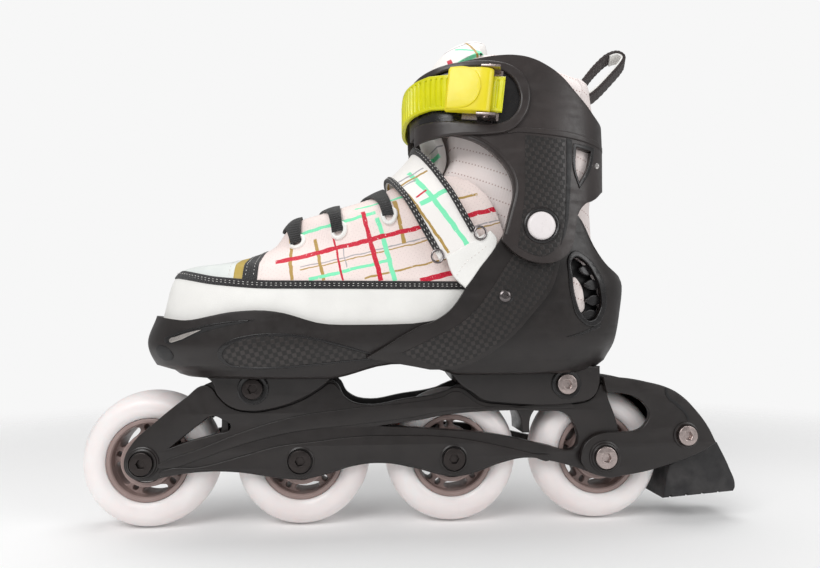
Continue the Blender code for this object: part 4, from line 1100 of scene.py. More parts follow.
def make_brake():
    parts = []
    axle = (WHEEL_X[3], WHEEL_RADIUS)
    for side, word in SIDES:
        holes = [circle(*axle, AXLE_HOLE), circle(*BRAKE_BOLT, 2.9)]
        parts.append(side_plate(f"arm_{word}", [BRAKE_ARM, *holes], side, BRAKE_INNER,
                                BRAKE_OUTER, 0.7, 6, 3))
        for spot, radius in ((axle, 8.2), (BRAKE_BOLT, 6.6)):
            parts.append(fitting(f"boss_{word}_{spot[0]}", side, BRAKE_OUTER, spot, 64,
                                 (-0.4, radius - 1.4), (-0.4, radius + 0.6), (0.5, radius + 0.3),
                                 (0.8, radius - 0.4), (0.5, radius - 1.4)))
    half = BRAKE_INNER + 0.3
    parts.append(flat_plate("crown", [BRAKE_CROWN], -half, half, 0.3, 5))
    finish(merged("brake_body", parts), "plastic", "boot", ["brake_housing"])

    pad = flat_plate("brake_block", [BRAKE_PAD], -PAD_HALF, PAD_HALF, 0.9, 6, 3)
    grooves = []
    for k in range(4):
        x = GROOVE_START + GROOVE_SPACING * k
        low, high = (x, -PAD_HALF - 1.6, 10), (x + GROOVE_WIDTH, PAD_HALF + 1.6, 14.2 + 0.5 * k)
        grooves.append(box(f"groove_{k}", low, high, 0))
    finish(cut(pad, *grooves), "rubber", "boot", ["brake_pad"])
    face = BRAKE_OUTER + 0.3
    socket_head("brake_bolt_head", OUTER, face, BRAKE_BOLT, 5.2, 2.4, 2.4, 2.6, 2 * face,
                "steel", "brake_bolt")
    nut = flat_plate("brake_nut", [hexagon(*BRAKE_BOLT, 5.0), circle(*BRAKE_BOLT, 2.0)],
                     face, face + 2.8, 0.3, 3)
    finish(nut, "steel")
    for side, word in SIDES:
        seam = panel(f"brake_seam_{word}", [BRAKE_SEAM], lambda x, z: BRAKE_OUTER, 0.0, 0.25,
                     side, 0.08, 4)
        finish(seam, "dark")


# ================================================================ hard shell
SHELL_TOP = smooth_line([
    (-125, 112.5), (-108, 109.8), (-97, 109), (-86, 111), (-77.6, 112.6), (-66, 113.5),
    (-57, 113.2), (-48, 111.7), (-38.6, 109), (-30, 107), (-18.7, 106.3), (10.8, 106.6),
    (20, 107.5), (32, 110), (44, 121), (54, 133), (64, 146), (72, 158), (78, 165), (90, 165.5),
    (98, 164), (104, 159.5), (111, 149.5), (118, 141), (128, 134), (140, 130)])
# (scale, rise) of the rings that round the sole into the sides
SOLE_ROUNDING = ((0.3, 0.0), (0.6, 0.0), (0.8, 0.0), (0.88, 0.25), (0.93, 0.9), (0.965, 2.2),
                 (0.988, 4.2))


def sole_height(x):
    return 79.0 + 7.0 * ease((x + 26) / 34) - 6.0 * ease((x - 26) / 16)


FRONT_NOTCH = [
    (-94, 82, 1), (-86.1, 77.4), (-82.9, 70.4), (-76, 64.4), (-67, 62.2), (-56.7, 63),
    (-40.6, 68), (-29.1, 74.8), (-21, 82, 1)]
REAR_NOTCH = [
    (37, 84, 1), (44.1, 74.8), (50.6, 70.3), (55.6, 66.8), (64.6, 65.2), (107.4, 64.8),
    (115.2, 67.2), (118.8, 72.3), (120, 84, 1)]
HEEL_VENT = [
    (102.2, 141.0), (107.5, 139.6), (113.6, 132.2), (117.2, 122.3), (116.6, 113.7),
    (111.2, 108.2), (106.2, 111), (102.6, 119), (101.0, 130)]
HEEL_LIP = [
    (100.9, 144.0), (108.9, 142.0), (116.5, 133.9), (120.6, 122.6), (119.8, 112.4),
    (113.0, 105.2), (103.8, 109.4), (100.4, 118.6), (98.8, 130)]
HEEL_LINING = [(102.6, 131), (106.6, 128), (108.8, 121), (108.2, 113), (105.4, 112.4),
               (103.2, 119)]
HEEL_CREASE = [(116, 107.6), (112, 104.8), (105, 102.0), (97, 99.8, 1), (105, 100.8),
               (112.6, 103.2), (117.4, 106.2)]
TOE_SLIT = [
    (-106.5, 98.2), (-101, 101.4), (-90, 104.4), (-77, 106.8), (-60.5, 108.2, 1), (-77, 105.2),
    (-89.5, 101.6), (-99, 98.2)]
TOE_MESH = [
    (-104.6, 98.9), (-100, 101.0), (-93.4, 102.9), (-86.5, 104.3, 1), (-93, 101.4), (-99, 99.0)]
TOE_RIDGE = [
    (-107.6, 98.6), (-101.6, 102.3), (-90.2, 105.4), (-77, 107.7), (-60.0, 108.9, 1),
    (-77, 107.0), (-90, 104.6), (-101.3, 101.4)]
TOE_SCOOP = [(-112.5, 96.0), (-108.4, 96.4), (-103.5, 93.4), (-102.6, 90.4), (-106, 88.6),
             (-111.4, 90.0), (-113.4, 93.2)]
LEAF = [
    (-78.5, 92.6), (-74.5, 97.6), (-63, 101.4), (-50.8, 102.2), (-35.3, 100.9), (-18.6, 96.8),
    (-4, 92.2), (3.4, 89.4, 1), (-10, 88.4), (-24, 87.0), (-45, 85.2), (-66, 85.0), (-76, 87.6)]
LEAF_INNER = [
    (-75.9, 92.4), (-72, 96.4), (-62.6, 100), (-50.8, 100.8), (-35.5, 99.6), (-18.9, 95.6),
    (-5, 91.6), (0.6, 89.8, 1), (-10, 89.2), (-24, 87.9), (-45, 86.2), (-65.5, 86.1), (-74, 88.2)]


def vent_strut(x, z, drop):
    """A rib across the heel vent whose inner end is this much higher."""
    return [(x - 5.6, z + drop - 1.0), (x + 2.4, z - 1.4), (x + 2.6, z + 1.4),
            (x - 5.4, z + drop + 1.0)]


# name, outlines, lift, thickness, bevel, grid, look, slot
SHELL_TRIM = (
    ("vent_lip_{}", [HEEL_LIP, HEEL_VENT], -0.6, 1.3, 0.5, 2.5, "satin", "shell"),
    ("vent_well_{}", [HEEL_VENT], -6.9, 0.6, 0.1, 3, "dark", "shell"),
    ("vent_lining_{}", [HEEL_LINING], -6.3, 1.6, 0.5, 2.5, "padding", "liner"),
    ("vent_strut_{}_0", [vent_strut(111.5, 134.5, 0.6)], -4.6, 2.6, 0.5, 3, "satin", "shell"),
    ("vent_strut_{}_1", [vent_strut(114.2, 127.0, 0.2)], -4.6, 2.6, 0.5, 3, "satin", "shell"),
    ("vent_strut_{}_2", [vent_strut(115.0, 119.0, -0.2)], -4.6, 2.6, 0.5, 3, "satin", "shell"),
    ("vent_strut_{}_3", [vent_strut(112.6, 111.5, -0.6)], -4.6, 2.6, 0.5, 3, "satin", "shell"),
    ("leaf_rim_{}", [LEAF, LEAF_INNER], -0.4, 0.85, 0.3, 3, "satin", "shell"),
    ("leaf_weave_{}", [LEAF_INNER], -0.2, 0.4, 0.1, 3, "carbon", "shell"),
    # The toe slit is a deep black plate laid on the surface: painted shade in place of the slit's
    # recess.
    ("toe_slit_shade_{}", [TOE_SLIT], -0.3, 0.45, 0.12, 2.5, "dark", "shell"),
    ("toe_mesh_{}", [TOE_MESH], -0.3, 0.75, 0.2, 2.0, "brass", "bolt_rose"),
    ("toe_ridge_{}", [TOE_RIDGE], -0.3, 0.8, 0.3, 2.5, "satin", "shell"),
    ("heel_crease_{}", [HEEL_CREASE], -0.3, 0.75, 0.3, 3, "satin", "shell"),
    # The toe scoop is a deep black plate on the surface: painted shade of the hollow below the
    # slit.
    ("toe_scoop_shade_{}", [TOE_SCOOP], -0.6, 0.9, 0.3, 2.5, "dark", "shell"))


def lay_trim(table, surface, side, word, body):
    """Lay a table of thin plates on one side of a surface."""
    for name, outlines, lift, thickness, bevel, grid, look, slot in table:
        plate = panel(name.format(word), outlines, surface, lift, thickness, side, bevel, grid)
        finish(plate, look, body)


def cut_vent(item, name, outline, surface, side):
    """Cut an outline through a wall, from 9 mm outside it to 9 mm inside."""
    return cut(item, panel(name, [outline], surface, -9.0, 18.0, side, 0.0, 4), solver="MANIFOLD")


def make_shell():
    count = 144
    rows = [[(x, y, sole_height(x) + rise) for x, y, _ in form_ring(82, count, scale=scale)]
            for scale, rise in SOLE_ROUNDING]
    middle = [x for x, _, _ in form_ring(100, count)]
    for share in even_steps(0, 1, 22):
        row = []
        for i, x_mid in enumerate(middle):
            low = sole_height(x_mid) + 7.0
            z = low + (line_at(SHELL_TOP, x_mid) - low) * share ** 1.1
            row.append((*form_point(z, i, count), z))
        rows.append(row)
    shell = sheet("boot_shell", rows, SHELL_WALL, ring=True, floor=True, round_rim=0.9)
    for side, word in SIDES:
        shell = cut_vent(shell, f"vent_cut_{word}", HEEL_VENT, half_width, side)
    finish(shell, "plastic", "boot", ["shell"], 50)

    for name, notch in (("front_block", FRONT_NOTCH), ("rear_block", REAR_NOTCH)):
        parts = [side_plate(f"{name}_{word}", [notch], side, FRAME_TAB + 0.3, BLOCK_OUTER,
                            0.7, 6, 3) for side, word in SIDES]
        parts.append(flat_plate(f"{name}_core", [notch], -12.6, 12.6, 0.4, 5))
        finish(merged(name, parts), "plastic")
    for side, word in SIDES:
        lay_trim(SHELL_TRIM, half_width, side, word, "boot")


def make_block_bolts():
    for label, spot, look, slot in (("front_bolt", (-64.8, 73.6), "black_steel", "bolt_dark"),
                                    ("rear_bolt", (101.2, 74.6), "steel", "bolt_rose")):
        for side, word in SIDES:
            seat = fitting(f"{label}_seat_{word}", side, 20.4, spot, 64,
                           (0, 5.8), (0, 8.2), (0.8, 8.0), (1.2, 7.4), (0.9, 5.8))
            finish(seat, "satin")
            socket_head(f"{label}_{word}_head", side, BLOCK_OUTER + 0.3, spot, 5.3, 2.0, 2.4,
                        2.5, 8.0, look, f"{label}_{word}")


# ================================================================ ankle arms and cuff
ARM_FRONT = [
    (-6, 90.5), (5, 96.7), (12, 101), (21, 105.6), (29, 108.6), (37, 114.3), (44.4, 124.2),
    (51.8, 135.1), (59, 144.2), (64, 152), (71, 162), (82.7, 170)]
ARM_REAR = [
    (26, 84.5), (34, 84.4), (41.2, 84.8), (54.8, 90.9), (68.6, 100.7), (80.8, 114.2), (86.5, 121),
    (90.4, 127.9), (93.5, 138.9), (95.5, 148), (94, 160), (82.7, 170)]


def arm_rows(side, share_from, share_to, lift, across, skip=0):
    """Rows across an ankle arm, from one share of its width to another."""
    rows = []
    for front, rear in list(zip(spread(ARM_FRONT, 60), spread(ARM_REAR, 60)))[skip:]:
        row = []
        for share in even_steps(share_from, share_to, across + 1):
            x = front[0] + (rear[0] - front[0]) * share
            z = front[1] + (rear[1] - front[1]) * share
            row.append((x, side * (half_width(x, z) + lift), z))
        rows.append(row)
    return rows


def make_arms():
    for side, word in SIDES:
        arm = sheet(f"arm_{word}_body", arm_rows(side, 0.0, 1.0, 0.4, 16), ARM_WALL, offset=-side,
                    round_rim=0.9)
        finish(arm, "plastic", "boot", [f"ankle_arm_{word}"], 50)
        weave = sheet(f"arm_{word}_weave", arm_rows(side, 0.3, 0.94, 3.0, 12, 4), 0.3,
                      offset=-side)
        finish(weave, "carbon", sharp=50)
        face = half_width(*TRIM_SCREW) + 3.0
        ring = fitting(f"trim_ring_{word}", side, face, TRIM_SCREW, 48,
                       (-0.4, 0.0), (-0.4, 4.3), (0.1, 4.5), (0.4, 4.2), (0.2, 3.8), (0, 0.0))
        finish(ring, "dark")
        head = fitting(f"trim_head_{word}", side, face, TRIM_SCREW, 48,
                       (-0.2, 0.0), (-0.2, 3.2), (0.7, 3.1), (1.3, 2.5), (1.6, 1.6), (1.5, 1.1),
                       (0.8, 0.9), (0.8, 0.0))
        finish(head, "dark_chrome", "boot", [f"trim_screw_{word}"])

        face = cuff_width(*ANKLE) + 0.3
        cap = fitting(f"ankle_cap_{word}", side, face, ANKLE, 72,
                      (1.8, 0.0), (1.8, 5.6), (1.5, 6.5), (0.8, 7.1), (0, 7.2), (0, 4.0),
                      (33.4 - face, 4.0), (33.4 - face, 0.0))
        finish(cap, "cap", "boot", [f"ankle_rivet_{word}"])
        ring = fitting(f"ankle_ring_{word}", side, face, ANKLE, 72,
                       (-0.4, 7.6), (-0.4, 9.2), (0.35, 9.0), (0.6, 8.4), (0.1, 7.6))
        finish(ring, "satin", "cuff")


CUFF_OUTLINE = [
    (8, 208.6, 1), (24, 208.6), (36.7, 205.2), (46, 202.2), (53, 198.6), (60.5, 192),
    (66.7, 183.5), (68.8, 174.5), (66.2, 162), (62.6, 148.5, 1), (69.3, 141.9), (77.5, 137.9),
    (86.7, 137.1), (93.5, 139.5), (98.7, 145.1), (101.4, 154.6), (103.5, 163.5), (109, 169.5),
    (114.5, 172), (121, 177.3), (127.4, 181), (140, 184, 1), (140, 214, 1), (131, 214),
    (119, 216.4), (110, 223.5), (104, 229), (97, 236.3), (88.6, 242.2), (80.3, 245.9),
    (72.2, 247.3), (63.4, 247), (51.5, 245.3), (40, 243.4), (28.5, 241.6), (8, 238, 1)]
CUFF_VENT = [(103.2, 198.3, 1), (112.5, 197.3, 1), (110, 188.5), (104.3, 179.2, 1), (102.4, 187)]
CUFF_VENT_LIP = [
    (101.6, 200.2, 1), (115.2, 199.6, 1), (112.4, 188.0), (104.4, 176.4, 1), (100.9, 187)]
CUFF_WEAVE = [
    (75.7, 203.4, 1), (96.8, 201.6, 1), (96.2, 184), (95.6, 166), (93.8, 152), (89.5, 144.0),
    (84, 140.6), (77.5, 141.4), (70.6, 145.0, 1), (72.6, 158), (74.6, 172), (75.2, 188)]
CUFF_CHANNEL = [(97.6, 202.6, 1), (101.0, 201.8, 1), (99.6, 184), (98.2, 168), (96.0, 154),
                (92.6, 146.0, 1), (94.8, 156), (96.2, 170), (97.0, 186)]
CUFF_SHELF = [
    (66, 205.2), (72, 204.9), (82, 204.3), (96, 203.0), (112, 201.4), (124, 200.6, 1),
    (124, 203.6, 1), (112, 204.6), (96, 206.4), (82, 207.0), (70, 207.2)]
CUFF_EDGE = [(63.4, 151), (66.6, 162), (69.4, 174.5), (67.3, 184.2), (61, 193), (53.2, 199.8),
             (45, 203.6)]
CUFF_STUD = (116.5, 190.6)
POD_RIM = [
    (20, 203.4, 1), (40, 203.6), (58, 203.4), (68, 205.6), (74.6, 211.5), (78.6, 221.7),
    (77.4, 232.4), (71.6, 239.6), (63, 242.8), (51.5, 243.6), (36, 243.0), (20, 240.6, 1),
    (20, 236.0, 1), (36, 239.2), (51, 239.8), (61.5, 238.6), (68.4, 234.8), (72.4, 228),
    (73.0, 220.5), (69.6, 213.6), (64.0, 209.8), (56, 209.0), (38, 211.8), (20, 214.0, 1)]
POD_FLOOR = [
    (22, 212, 1), (40, 210), (57, 208.4), (66, 210), (72, 216.5), (73.4, 224), (70.6, 233.6),
    (63, 238.8), (50, 240.2), (36, 239.6), (22, 237, 1)]
# name, outlines, lift, thickness, bevel, grid, look, slot
CUFF_TRIM = (
    ("cuff_weave_{}", [CUFF_WEAVE, circle(*ANKLE, 9.6)], -0.1, 0.35, 0.1, 2.5, "carbon", "cuff"),
    ("cuff_vent_lining_{}", [CUFF_VENT_LIP], -5.0, 1.4, 0.3, 2, "padding", "liner"),
    ("cuff_vent_lip_{}", [CUFF_VENT_LIP, CUFF_VENT], -0.5, 1.1, 0.4, 2, "satin", "cuff"),
    # The channel is a thin deep black plate on the surface: painted shade in the groove beside
    # the weave.
    ("cuff_channel_shade_{}", [CUFF_CHANNEL], -0.1, 0.3, 0.1, 2.5, "dark", "cuff"),
    ("cuff_shelf_{}", [CUFF_SHELF], -0.6, 1.25, 0.5, 2.5, "cuff", "cuff"))


def make_cuff():
    rows = [cuff_ring(z, 144) for z in even_steps(130, 250, 49)]
    cuff = sheet("cuff_wrap", rows, CUFF_WALL, ring=True)
    for side, word in SIDES:
        cuff = cut_vent(cuff, f"cuff_vent_cut_{word}", CUFF_VENT, cuff_width, side)
    outline = flat_plate("cuff_outline", [CUFF_OUTLINE], -60, 60, 0.0, 8)
    cuff = combine(cuff, outline, "INTERSECT", "MANIFOLD")
    cuff = cut(cuff, box("cuff_front_gap", (0, -11, 190), (45, 11, 260), 0), solver="MANIFOLD")
    finish(rounded(cuff, 0.7, 3, 50), "cuff", "cuff", ["cuff"], 40)

    for side, word in SIDES:
        lay_trim(CUFF_TRIM, cuff_width, side, word, "cuff")
        edge = [(x + 1.2, side * (cuff_width(x + 1.2, z) - 0.35), z + 0.4)
                for x, z in spread(CUFF_EDGE, 40)]
        finish(tube(f"cuff_edge_{word}", edge, 0.9), "cuff", "cuff")
        stud = fitting(f"cuff_stud_{word}", side, cuff_width(*CUFF_STUD), CUFF_STUD, 24,
                       (1.0, 0.0), (0.9, 1.0), (0.2, 1.6), (-1.4, 1.6), (-1.4, 0.0))
        finish(stud, "bright", "cuff")
    rim = panel("pod_rim", [POD_RIM], cuff_width, -0.8, 2.9, OUTER, 1.2, 2.2)
    finish(rim, "cuff", "cuff", sharp=60)
    floor = panel("pod_floor", [POD_FLOOR], cuff_width, -0.1, 0.35, OUTER, 0.1, 3)
    finish(floor, "satin", "cuff")


# ================================================================ buckle and its strap
BUCKLE_SPOT = (49.0, 228.0)
BUCKLE_DROP = 3.5
BUCKLE_YAW, BUCKLE_LEAN = -14.0, 7.0
LEVER_PIN = (8.5, -6.4)
STRAP_SCREW = (44.0, 228.0)
# seen along the pin, as (along the strap, outward) points
LEVER_SECTION = [(-12, -4.4, 1), (-12.4, -7.0), (-9, -8.4), (0, -9.6), (6, -9.8), (9.6, -8.8),
                 (10.8, -6.6), (9.6, -4.6), (6, -4.2), (-4, -4.2)]
THUMB_PAD = [(-11.6, -10.6, 1), (-4, -10.4), (2.2, -7.4), (5.0, -1.6), (4.6, 4.4), (1.4, 9.2),
             (-4, 11.4), (-11.6, 11.2, 1)]
TOOTH_SPACING, TOOTH_ROOT, TOOTH_RISE = 3.5, 1.25, 1.0
STRAP_STEP = 0.35


def buckle_frame():
    """Where the buckle sits: X along the strap, Y inward, Z along the lever's pin."""
    x, z = BUCKLE_SPOT
    front, _, width = cuff_row_cad(z)
    t = abs(x - CUFF_MIDDLE_X) / (CUFF_MIDDLE_X - front)
    out = width * (1 - t ** CUFF_ROUNDNESS) ** (1 / CUFF_ROUNDNESS)
    spot = Vector((x, -out - 0.9, z)) * MM
    yaw = Matrix.Rotation(math.radians(BUCKLE_YAW), 4, "Z")
    lean = Matrix.Rotation(math.radians(BUCKLE_LEAN), 4, "Y")
    drop = Matrix.Translation((0.0, 0.0, -BUCKLE_DROP * MM))
    return Matrix.Translation(spot) @ yaw @ lean @ drop


def cuff_row_cad(z):
    """The cuff's front, rear and half width at a height, read straight between its rows."""
    for low, high in zip(CUFF_FORM, CUFF_FORM[1:]):
        if z <= high[0]:
            share = (z - low[0]) / (high[0] - low[0])
            return [a + (b - a) * share for a, b in zip(low[1:], high[1:])]
    return list(CUFF_FORM[-1][1:])


def make_buckle():
    place = buckle_frame()
    ears = [box("buckle_plate", (-4, -1.2, -13.2), (15, 0, 13.2), 0.35)]
    for side in (-1, 1):
        low, high = sorted((side * 11.7, side * 13.2))
        ears.append(box(f"buckle_ear_{side}", (4, -9.4, low), (14, -0.6, high), 0.5))
    base = merged("buckle_bracket", ears)
    base.data.transform(place)
    finish(base, "steel", "cuff", ["buckle_base"])
    pin = turned("lever_axle", [(-13.9, 0.0), (-13.9, 1.5), (13.9, 1.5), (13.9, 0.0)],
                 LEVER_PIN[0], 0.0, 24)
    pin.data.transform(Matrix.Rotation(math.pi / 2, 4, "X"))
    pin.data.transform(place @ Matrix.Translation((0, LEVER_PIN[1] * MM, 0)))
    finish(pin, "steel", "cuff", ["lever_pin"])

    lever = flat_plate("lever_body", [LEVER_SECTION], -11.3, 11.3, 0.9, 8, 3)
    lever.data.transform(Matrix.Rotation(-math.pi / 2, 4, "X"))
    pad = flat_plate("thumb_pad", [THUMB_PAD], -1.0, 1.0, 0.5, 8, 3)
    for vertex in pad.data.vertices:
        skin = -7.6 - 2.1 * ease((vertex.co.x / MM + 12.5) / 18)
        vertex.co.y += (skin - 0.1) * MM
    lever = merged("lever_shape", [lever, pad])
    lever.data.transform(place)
    finish(lever, "lever", "lever", ["buckle_lever"], 50)


def cuff_wrap(out, angle_from, angle_to, count):
    """Points round the front of the cuff at the strap's height, this far outside it."""
    front, _, width = cuff_row_cad(STRAP_Z)
    front, width = front - out, width + out
    points = []
    for angle in even_steps(angle_from, angle_to, count):
        across, along = math.sin(angle), math.cos(angle)
        y = -width * math.copysign(abs(across) ** (2 / CUFF_ROUNDNESS), across)
        x = CUFF_MIDDLE_X - (CUFF_MIDDLE_X - front) * abs(along) ** (2 / CUFF_ROUNDNESS)
        points.append(Vector((x, y, STRAP_Z)))
    return points


def make_ladder_strap():
    """The ribbed strap, with evenly spaced teeth and thick rounded edges."""
    place = buckle_frame()
    line = [place @ (Vector((along, -1.9, 0.0)) * MM) / MM for along in (16.5, 12, 6, 0, -6, -12)]
    line += cuff_wrap(1.2, math.radians(44), math.radians(-62), 30)
    dense = even_line(spread([tuple(p) for p in line], 300), STRAP_STEP)
    up_start = (place.to_3x3() @ Vector((0, 0, 1))).normalized()
    bm = bmesh.new()
    rings = []
    for k, point in enumerate(dense):
        ahead = (dense[min(k + 1, len(dense) - 1)] - dense[max(k - 1, 0)]).normalized()
        blend = ease(k * STRAP_STEP / 34)
        up = up_start.lerp(Vector((0, 0, 1)), blend).normalized()
        out = up.cross(ahead).normalized()
        tooth = (k * STRAP_STEP / TOOTH_SPACING) % 1.0
        height = TOOTH_ROOT + TOOTH_RISE * ease(min(tooth, 1 - tooth) * 6 - 0.6)
        section = [(-9.2, 0.3), (-9.2, 1.7), (-8.8, 2.1), (-7.6, 2.1), (-7.2, height),
                   (0, height), (7.2, height), (7.6, 2.1), (8.8, 2.1), (9.2, 1.7), (9.2, 0.3),
                   (8.8, 0.0), (0, 0.0), (-8.8, 0.0)]
        rings.append([bm.verts.new((point + up * a + out * b) * MM) for a, b in section])
    for first, second in zip(rings, rings[1:]):
        for i in range(len(first)):
            j = (i + 1) % len(first)
            bm.faces.new((first[i], first[j], second[j], second[i]))
    bm.faces.new(rings[0])
    bm.faces.new(list(reversed(rings[-1])))
    strap = from_bmesh("ribbed_strap", bm)
    finish(strap, "yellow", "cuff", ["ladder_strap"], 30)
    head = fitting("strap_screw_head", INNER, cuff_width(*STRAP_SCREW) + 4.6, STRAP_SCREW, 40,
                   (-9.4, 0.0), (-9.4, 1.8), (0, 1.8), (0, 4.2), (0.9, 3.8), (1.4, 2.4),
                   (1.0, 1.6), (0.6, 0.0))
    finish(head, "steel", "cuff", ["strap_screw"])


# ================================================================ soft upper
PIPING = smooth_line([
    (-126, 134.8), (-113, 134.3), (-104, 132.9), (-96, 131.3), (-86, 129.4), (-73, 127.9),
    (-61, 126.9), (-48, 126.6), (-20, 126.6), (10, 126.6), (66, 126.6)])
UPPER_END = 52.0
PIPING_HALF = 2.1


def piping_height(x):
    return line_at(PIPING, x)


def band_rows(low, high, inset, count, x_end, levels):
    """Rows round the toe between two heights that change along the foot."""
    half = count // 2
    stations = [(i, form_point(120, i, count, inset)[0]) for i in range(-half, half + 1)]
    rows = []
    for share in even_steps(0, 1, levels):
        row = []
        for i, x_mid in stations:
            if x_mid <= x_end:
                z = low(x_mid) + (high(x_mid) - low(x_mid)) * share
                row.append((*form_point(z, i, count, inset), z))
        rows.append(row)
    return rows


def side_height(tree, x, angle):
    """Where a ray from the foot's middle, level with the piping, leaves the form.

    An angle of 0 is straight up and 90 is outward.
    """
    origin = Vector((x, 0.0, piping_height(x)))
    turn = math.radians(angle)
    ray = Vector((0.0, -math.sin(turn), math.cos(turn)))
    return tree.ray_cast(origin, ray)[0]


THROAT = [(-56, 0.0), (-52, 3.5), (-47, 6.4), (-30, 8.0), (8, 12.0), (30, 16.0), (70, 16.0)]
COLLAR = smooth_line([(-70, 215), (4, 215), (10, 189), (25, 187.5), (38, 186), (47, 183),
                      (55, 177), (61, 168), (66, 154)])
WHOLE = 500.0                      # past the end of the foot: a panel with no throat
THROAT_START = -56.0


def throat_angle(tree, x):
    """The smallest angle from straight up that the quarter reaches at a place along the foot."""
    wide = line_at(THROAT, x)
    roof = line_at(COLLAR, x)
    angle = 0.0
    while angle < 88.0:
        spot = side_height(tree, x, angle)
        if spot is not None and abs(spot.y) >= wide and spot.z <= roof:
            return angle
        angle += 0.5
    return 88.0


def skin(name, tree, x_from, x_to, step, thickness, closed_until, across=26):
    """A sewn panel over the foot: whole up to closed_until, split by the throat behind it."""
    stations = even_steps(x_from, x_to, int(round((x_to - x_from) / step)) + 1)
    bm = bmesh.new()
    grid = []
    for x in stations:
        limit = throat_angle(tree, x) if x > closed_until else 0.0
        half = [side_height(tree, x, angle) for angle in even_steps(90, limit, across + 1)]
        mirrored = [Vector((spot.x, -spot.y, spot.z)) for spot in half[::-1]]
        grid.append([bm.verts.new(spot * MM) for spot in half + mirrored])
    for k, (lower, upper) in enumerate(zip(grid, grid[1:])):
        whole = (stations[k] + stations[k + 1]) / 2 <= closed_until
        for i in range(len(lower) - 1):
            if i != across or whole:
                bm.faces.new((lower[i], upper[i], upper[i + 1], lower[i + 1]))
    bmesh.ops.remove_doubles(bm, verts=bm.verts[:], dist=0.00005)
    return rounded(thickened(name, bm, thickness), 0.4, 2, 60)


def foot_arc(inset, x):
    """A line over the foot from side to side."""
    return [tuple(side_height(form_tree(inset), x, angle)) for angle in range(-88, 89, 4)]


def quarter_seams(side):
    """Stitch lines along the throat, along the collar and behind the toe binding."""
    tree = form_tree(UPPER_INSET - 0.05)
    throat = [side_height(tree, x, throat_angle(tree, x) + 5.5) for x in even_steps(-50, 2, 60)]
    collar = [side_height(tree, x, throat_angle(tree, x) + 4.0) for x in even_steps(40, 62.5, 50)]
    toe = [side_height(tree, -58.6 + 6 * ease(share * 1.6 - 0.6), 86 - 80 * share)
           for share in even_steps(0, 1, 40)]
    return [[(spot.x, spot.y * side, spot.z) for spot in line] for line in (throat, collar, toe)]


def make_upper():
    inset = UPPER_INSET
    tree = form_tree(inset)
    rows = band_rows(lambda x: line_at(SHELL_TOP, x) - 9, lambda x: piping_height(x) - 1.2, inset,
                     220, UPPER_END, 16)
    rand = sheet("white_rand", rows, UPPER_THICKNESS)
    finish(rand, "white", "boot", ["toe_rand"], 60)
    rows = band_rows(lambda x: piping_height(x) - PIPING_HALF,
                     lambda x: piping_height(x) + PIPING_HALF, inset - 0.7, 220, UPPER_END, 7)
    piping = sheet("black_piping", rows, 1.2, round_rim=0.5)
    finish(piping, "binding", sharp=60)
    middle = band_rows(piping_height, piping_height, inset - 0.85, 400, 50, 2)[0]
    lines = [[(x, y, z + drop) for x, y, z in middle] for drop in (-0.55, 0.55)]
    finish(stitches("piping_stitches", lines, 1.1, 1.3, 0.17), "thread")

    cap = skin("toe_cap", tree, -109.0, -72.8, 1.2, UPPER_THICKNESS, WHOLE)
    finish(cap, "grey", sharp=60)
    gold = skin("gold_strip", tree, -73.0, -67.6, 1.0, UPPER_THICKNESS, WHOLE)
    finish(gold, "gold", sharp=60)
    band = skin("toe_binding", form_tree(inset - 0.8), -68.2, -60.6, 0.8, 1.6, WHOLE)
    finish(band, "binding", sharp=60)
    lines = [foot_arc(inset - 0.95, x) for x in (-66.4, -62.4)]
    finish(stitches("binding_stitches", lines, 1.1, 1.3, 0.17), "thread")
    lines = [foot_arc(inset - 0.1, -75.4)]
    finish(stitches("cap_stitches", lines, 1.4, 1.3, 0.2), "brass")

    quarter = skin("quarter_panel", tree, -61.4, 66.0, 1.5, UPPER_THICKNESS, THROAT_START)
    finish(quarter, "quarter", "boot", ["quarter"], 60)
    lines = quarter_seams(1) + quarter_seams(-1)
    finish(stitches("quarter_stitches", lines, 1.1, 1.5, 0.18), "thread")
    under = form_tree(inset + 3.0)
    rows = [[side_height(under, x, angle) for angle in even_steps(-30, 30, 17)]
            for x in even_steps(-54.0, 30.0, 40)]
    finish(sheet("tongue_front", rows, 2.4), "tongue", sharp=60)


# ================================================================ liner, tongue, strap and laces
LINER_TABLE = Table([
    (93, 7.6, 140), (106, 7.6, 140), (127, 7.6, 140), (134, 7.6, 140), (139, 7.6, 140),
    (148, 7.6, 140), (161, 7.6, 140), (173, 7.4, 122), (184, 5.5, 122.6), (197, 3.6, 123),
    (210, 3.4, 122.8), (228, 3.4, 122), (240, 3.4, 121), (250, 3.0, 121.5), (256, 5.5, 119)])
LINER_FRONT = [
    (150, -130), (161, -40), (173, 22), (184, 34), (197, 40), (210, 39), (228, 37), (250, 38),
    (256, 40)]
LINER_BOTTOM, LINER_TOP = 93.0, 256.0
LINER_CORNER = 12.0
COLLAR_TOP = [
    (38, 256), (57, 255.5), (73, 253.5), (87, 248.5), (95, 244.5), (103, 241), (112, 238),
    (126, 236)]
COLLAR_HEEL_RISE = 15.0


def even_ring(ring, count):
    """A closed ring of points, spread evenly along its length."""
    closed = [*ring, ring[0]]
    lengths = [(Vector(b) - Vector(a)).length for a, b in zip(closed, closed[1:])]
    total = sum(lengths)
    result = []
    i, passed = 0, 0.0
    for k in range(count):
        place = total * k / count
        while i < len(lengths) - 1 and passed + lengths[i] < place:
            passed += lengths[i]
            i += 1
        share = (place - passed) / max(lengths[i], 1e-9)
        result.append(Vector(closed[i]).lerp(Vector(closed[i + 1]), min(max(share, 0.0), 1.0)))
    return result


